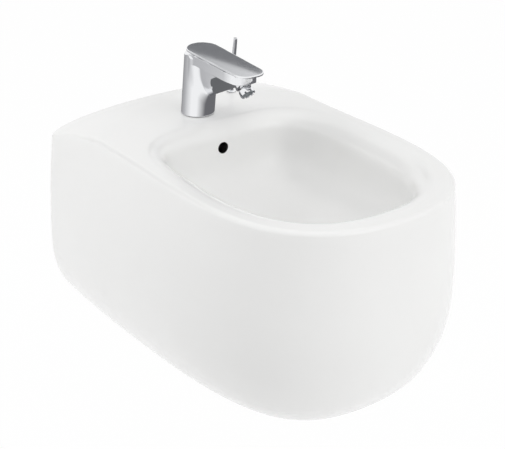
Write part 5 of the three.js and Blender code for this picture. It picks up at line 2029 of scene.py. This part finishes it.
@dataclass
class Studio:
    """The pale floor, the white surround, the lamps, the flags and the camera."""

    camera_place: tuple[float, float, float] = (-0.9719, -1.6002, 0.7525)
    azimuth: float = -35.36
    elevation: float = 25.26
    lens: float = 95.89
    sensor: float = 36.0
    sight_limit: float = 100.0
    floor_drop: float = 0.25
    floor_size: float = 30.0
    floor_tone: str = "#f4f4f4"
    white: str = "#ffffff"
    world_level: float = 0.36
    floor_glow: float = 0.985
    middle: tuple[float, float, float] = (0, -0.27, 0)
    softboxes: tuple[Softbox, ...] = (
        Softbox("left_softbox", -128, 0.9, 2.6, 1.8, 18),
        Softbox("left_fill", -98, 0.9, 2.6, 1.8, 7.5),
        Softbox("high_left_softbox", -128, 2.0, 1.8, 1.8, 11),
        Softbox("front_softbox", 8, 0.9, 2.6, 1.8, 27),
        Softbox("high_right_softbox", 36, 2.0, 1.8, 1.8, 10.5),
        Softbox("top_softbox", 160, 2.6, 0.2, 1.6, 8.5),
        Softbox("near_top_softbox", -35, 2.4, 1.0, 1.2, 6.5),
    )
    flags: tuple[LyingFlag | HungFlag, ...] = (
        LyingFlag(
            "hull_flag",
            0.12,
            ((-0.075, -0.13), (-0.075, -0.185), (0.02, -0.185), (0.01, -0.145), (-0.02, -0.132)),
        ),
        LyingFlag(
            "upper_hull_flag",
            0.14,
            ((-0.04, -0.134), (-0.04, -0.18), (0, -0.19), (-0.01, -0.15), (-0.025, -0.137)),
        ),
        HungFlag(
            "edge_card",
            -150,
            31,
            0.81,
            ((-0.22, -0.25), (0.22, -0.25), (0.22, 0.25), (-0.22, 0.25)),
            "#a6a6a8",
            "#a6a6a8",
        ),
        HungFlag(
            "lever_card",
            144,
            23,
            0.76,
            ((-0.12, -0.09), (0.12, -0.09), (0.12, 0.1), (-0.12, 0.1)),
            "#a8a9ab",
            "#f6f6f7",
        ),
        HungFlag(
            "lever_flag",
            144,
            23,
            0.7,
            ((-0.1, -0.04), (-0.04, -0.08), (0.09, -0.03), (0.06, 0.01), (-0.1, 0.01)),
            "#7c7d80",
            "#7c7d80",
        ),
    )
    fan: Fan = Fan()

    def build(self) -> None:
        """Sets the scene around the object."""
        self.set_camera()
        self.set_world()
        self.set_floor()
        for softbox in self.softboxes:
            self.set_softbox(softbox)
        for flag in self.flags:
            self.set_flag(flag)
        self.set_fan(self.fan)
        bpy.context.scene.view_settings.view_transform = "Standard"

    def set_camera(self) -> None:
        """Puts the camera where the photograph was taken from."""
        data = bpy.data.cameras.new("camera")
        data.lens = self.lens
        data.sensor_width = self.sensor
        data.sensor_fit = "HORIZONTAL"
        data.clip_end = self.sight_limit
        camera = bpy.data.objects.new("camera", data)
        back = towards(self.azimuth, self.elevation)
        right = Vector((0, 0, 1)).cross(back).normalized()
        up = back.cross(right)
        turn = Matrix((right, up, back)).transposed()
        camera.matrix_world = Matrix.Translation(self.camera_place) @ turn.to_4x4()
        bpy.context.scene.collection.objects.link(camera)
        bpy.context.scene.camera = camera

    def seen_share(self, tree: bpy.types.NodeTree) -> bpy.types.NodeSocket:
        """Adds nodes that give one for camera, mirror and glass rays, and zero for the rest.

        Args:
            tree: the node tree that takes the nodes.

        Returns:
            The socket with the share.
        """
        path = add_node(tree, "ShaderNodeLightPath")
        share = path.outputs["Is Camera Ray"]
        for name in ("Is Glossy Ray", "Is Transmission Ray"):
            share = add_node(
                tree,
                "ShaderNodeMath",
                {"operation": "MAXIMUM"},
                {0: share, 1: path.outputs[name]},
            ).outputs[0]
        return share

    def set_world(self) -> None:
        """Makes a plain soft surround that the camera, mirrors and glass see as white."""
        world = bpy.data.worlds.new("surround")
        world.use_nodes = True
        tree = world.node_tree
        tree.nodes.clear()
        level = add_node(
            tree,
            "ShaderNodeMix",
            {"data_type": "FLOAT"},
            {"Factor": self.seen_share(tree), 2: self.world_level, 3: 1.0},
        )
        glow = add_node(
            tree,
            "ShaderNodeBackground",
            inputs={"Color": linear(self.white), "Strength": level.outputs[0]},
        )
        add_node(tree, "ShaderNodeOutputWorld", inputs={"Surface": glow.outputs[0]})
        bpy.context.scene.world = world

    def set_floor(self) -> None:
        """Lays a pale floor that keeps the object's shadow."""
        half = self.floor_size / 2
        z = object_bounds()[0][2] - self.floor_drop
        corners = [(-half, -half, z), (half, -half, z), (half, half, z), (-half, half, z)]
        material, tree, _ = new_material("pale_floor")
        share = add_node(
            tree,
            "ShaderNodeMath",
            {"operation": "MULTIPLY"},
            {0: self.seen_share(tree), 1: self.floor_glow},
        )
        matte = add_node(tree, "ShaderNodeBsdfDiffuse", inputs={"Color": linear(self.floor_tone)})
        glow = add_node(tree, "ShaderNodeEmission", inputs={"Color": linear(self.white)})
        mix = {0: share.outputs[0], 1: matte.outputs[0], 2: glow.outputs[0]}
        finish_material(tree, "ShaderNodeMixShader", mix)
        self.set_card("floor", corners, material)

    def set_card(
        self,
        name: str,
        corners: Sequence[Sequence[float]],
        material: bpy.types.Material,
        faces: Faces | None = None,
    ) -> bpy.types.Object:
        """Makes one flat part of the studio.

        Args:
            name: the card's name.
            corners: its corners in metres.
            material: what it is made of.
            faces: the corners of each face, or none for a single face.

        Returns:
            The card.
        """
        mesh = bpy.data.meshes.new(name)
        mesh.from_pydata([tuple(c) for c in corners], [], faces or [tuple(range(len(corners)))])
        mesh.materials.append(material)
        card = bpy.data.objects.new(name, mesh)
        bpy.context.scene.collection.objects.link(card)
        card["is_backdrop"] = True
        return card

    def set_softbox(self, softbox: Softbox) -> None:
        """Hangs one lamp.

        Args:
            softbox: where it is and how strong it is.
        """
        data = bpy.data.lights.new(softbox.name, "AREA")
        data.shape = "SQUARE"
        data.size = softbox.size
        data.energy = softbox.power
        lamp = bpy.data.objects.new(softbox.name, data)
        middle = Vector(self.middle)
        away = towards(softbox.azimuth) * softbox.distance
        place = middle + away + Vector((0, 0, softbox.height))
        turn = (middle - place).to_track_quat("-Z", "Y").to_matrix().to_4x4()
        lamp.matrix_world = Matrix.Translation(place) @ turn
        lamp.visible_camera = False
        lamp.visible_glossy = False
        bpy.context.scene.collection.objects.link(lamp)

    def set_flag(self, flag: LyingFlag | HungFlag) -> None:
        """Hangs one card that only mirrors see.

        Args:
            flag: its corners and its colours.
        """
        material, tree, place = new_material(flag.name)
        across = add_node(tree, "ShaderNodeSeparateXYZ", inputs={0: place})
        corners = flag.corners()
        low = min(corner.x for corner in corners)
        high = max(corner.x for corner in corners)
        share = add_node(
            tree,
            "ShaderNodeMapRange",
            inputs={"Value": across.outputs[0], "From Min": low, "From Max": high},
        )
        ends = {6: linear(flag.colour), 7: linear(flag.right_colour)}
        colour = add_node(
            tree, "ShaderNodeMix", {"data_type": "RGBA"}, {"Factor": share.outputs[0], **ends}
        )
        self.set_mirrored_card(flag.name, corners, material, colour.outputs[2])

    def set_fan(self, fan: Fan) -> None:
        """Lays the card that is toned in rays.

        Args:
            fan: its place and its tones.
        """
        material, tree, _ = new_material(fan.name)
        tone = add_node(tree, "ShaderNodeAttribute", {"attribute_name": "tone"})
        first = fan.tones[0][0]
        last = fan.tones[-1][0]
        corners = []
        colours = []
        for step in range(fan.steps + 1):
            bearing = first + (last - first) * step / fan.steps
            start = Vector(fan.middle) + towards(bearing) * fan.foot
            end = start + towards(2 * bearing - fan.sight) * fan.length
            corners += [start, end]
            colours += [fan.tone(bearing)] * 2
        faces = [(2 * i, 2 * i + 1, 2 * i + 3, 2 * i + 2) for i in range(fan.steps)]
        card = self.set_mirrored_card(
            fan.name, corners, material, tone.outputs["Color"], faces
        )
        mark = card.data.attributes.new("tone", "FLOAT_COLOR", "POINT")
        mark.data.foreach_set("color", [part for colour in colours for part in colour])

    def set_mirrored_card(
        self,
        name: str,
        corners: Sequence[Sequence[float]],
        material: bpy.types.Material,
        colour: bpy.types.NodeSocket,
        faces: Faces | None = None,
    ) -> bpy.types.Object:
        """Finishes a card that only mirrors see, and only from its face side.

        Args:
            name: the card's name.
            corners: its corners in metres.
            material: its material, still without an output.
            colour: the socket that gives its colour.
            faces: the corners of each face, or none for a single face.

        Returns:
            The card.
        """
        tree = material.node_tree
        side = add_node(tree, "ShaderNodeNewGeometry")
        cloth = add_node(tree, "ShaderNodeEmission", inputs={"Color": colour})
        clear = add_node(tree, "ShaderNodeBsdfTransparent")
        mix = {0: side.outputs["Backfacing"], 1: cloth.outputs[0], 2: clear.outputs[0]}
        finish_material(tree, "ShaderNodeMixShader", mix)
        card = self.set_card(name, corners, material, faces)
        card.visible_camera = False
        card.visible_diffuse = False
        card.visible_transmission = False
        card.visible_shadow = False
        return card


def dress_solids(shop: Shop) -> None:
    """Gives every solid that stays its finish, by the record's slots.

    Args:
        shop: the frame and the finishes.
    """
    record = shop.frame["record"]
    for entry in record["subparts"]:
        solid = shop.frame["nodes"][entry["node"]]
        slot = Slot(entry["material_slot"])
        if not solid.material_slots:
            solid.data.materials.append(shop.finishes[slot])
        for place in solid.material_slots:
            place.material = shop.finishes[slot]
        LOG.info("dressed %s as %s", solid.name, slot.value)


def main() -> None:
    """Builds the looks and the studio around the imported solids."""
    logging.basicConfig(level=logging.INFO, format="%(name)s: %(message)s")
    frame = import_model()
    shop = Shop(frame, Finishes())
    dress_solids(shop)
    Studio().build()
    CeramicBody().build(shop)
    mixer = MixerBody()
    mixer.build(shop)
    Lever(mixer).build(shop)
    SwivelAerator(mixer).build(shop)
    TapGasket(mixer).build(shop)
    LiftRod().build(shop)
    LOG.info("made %d pieces", len(shop.made))


if __name__ == "__main__":
    main()
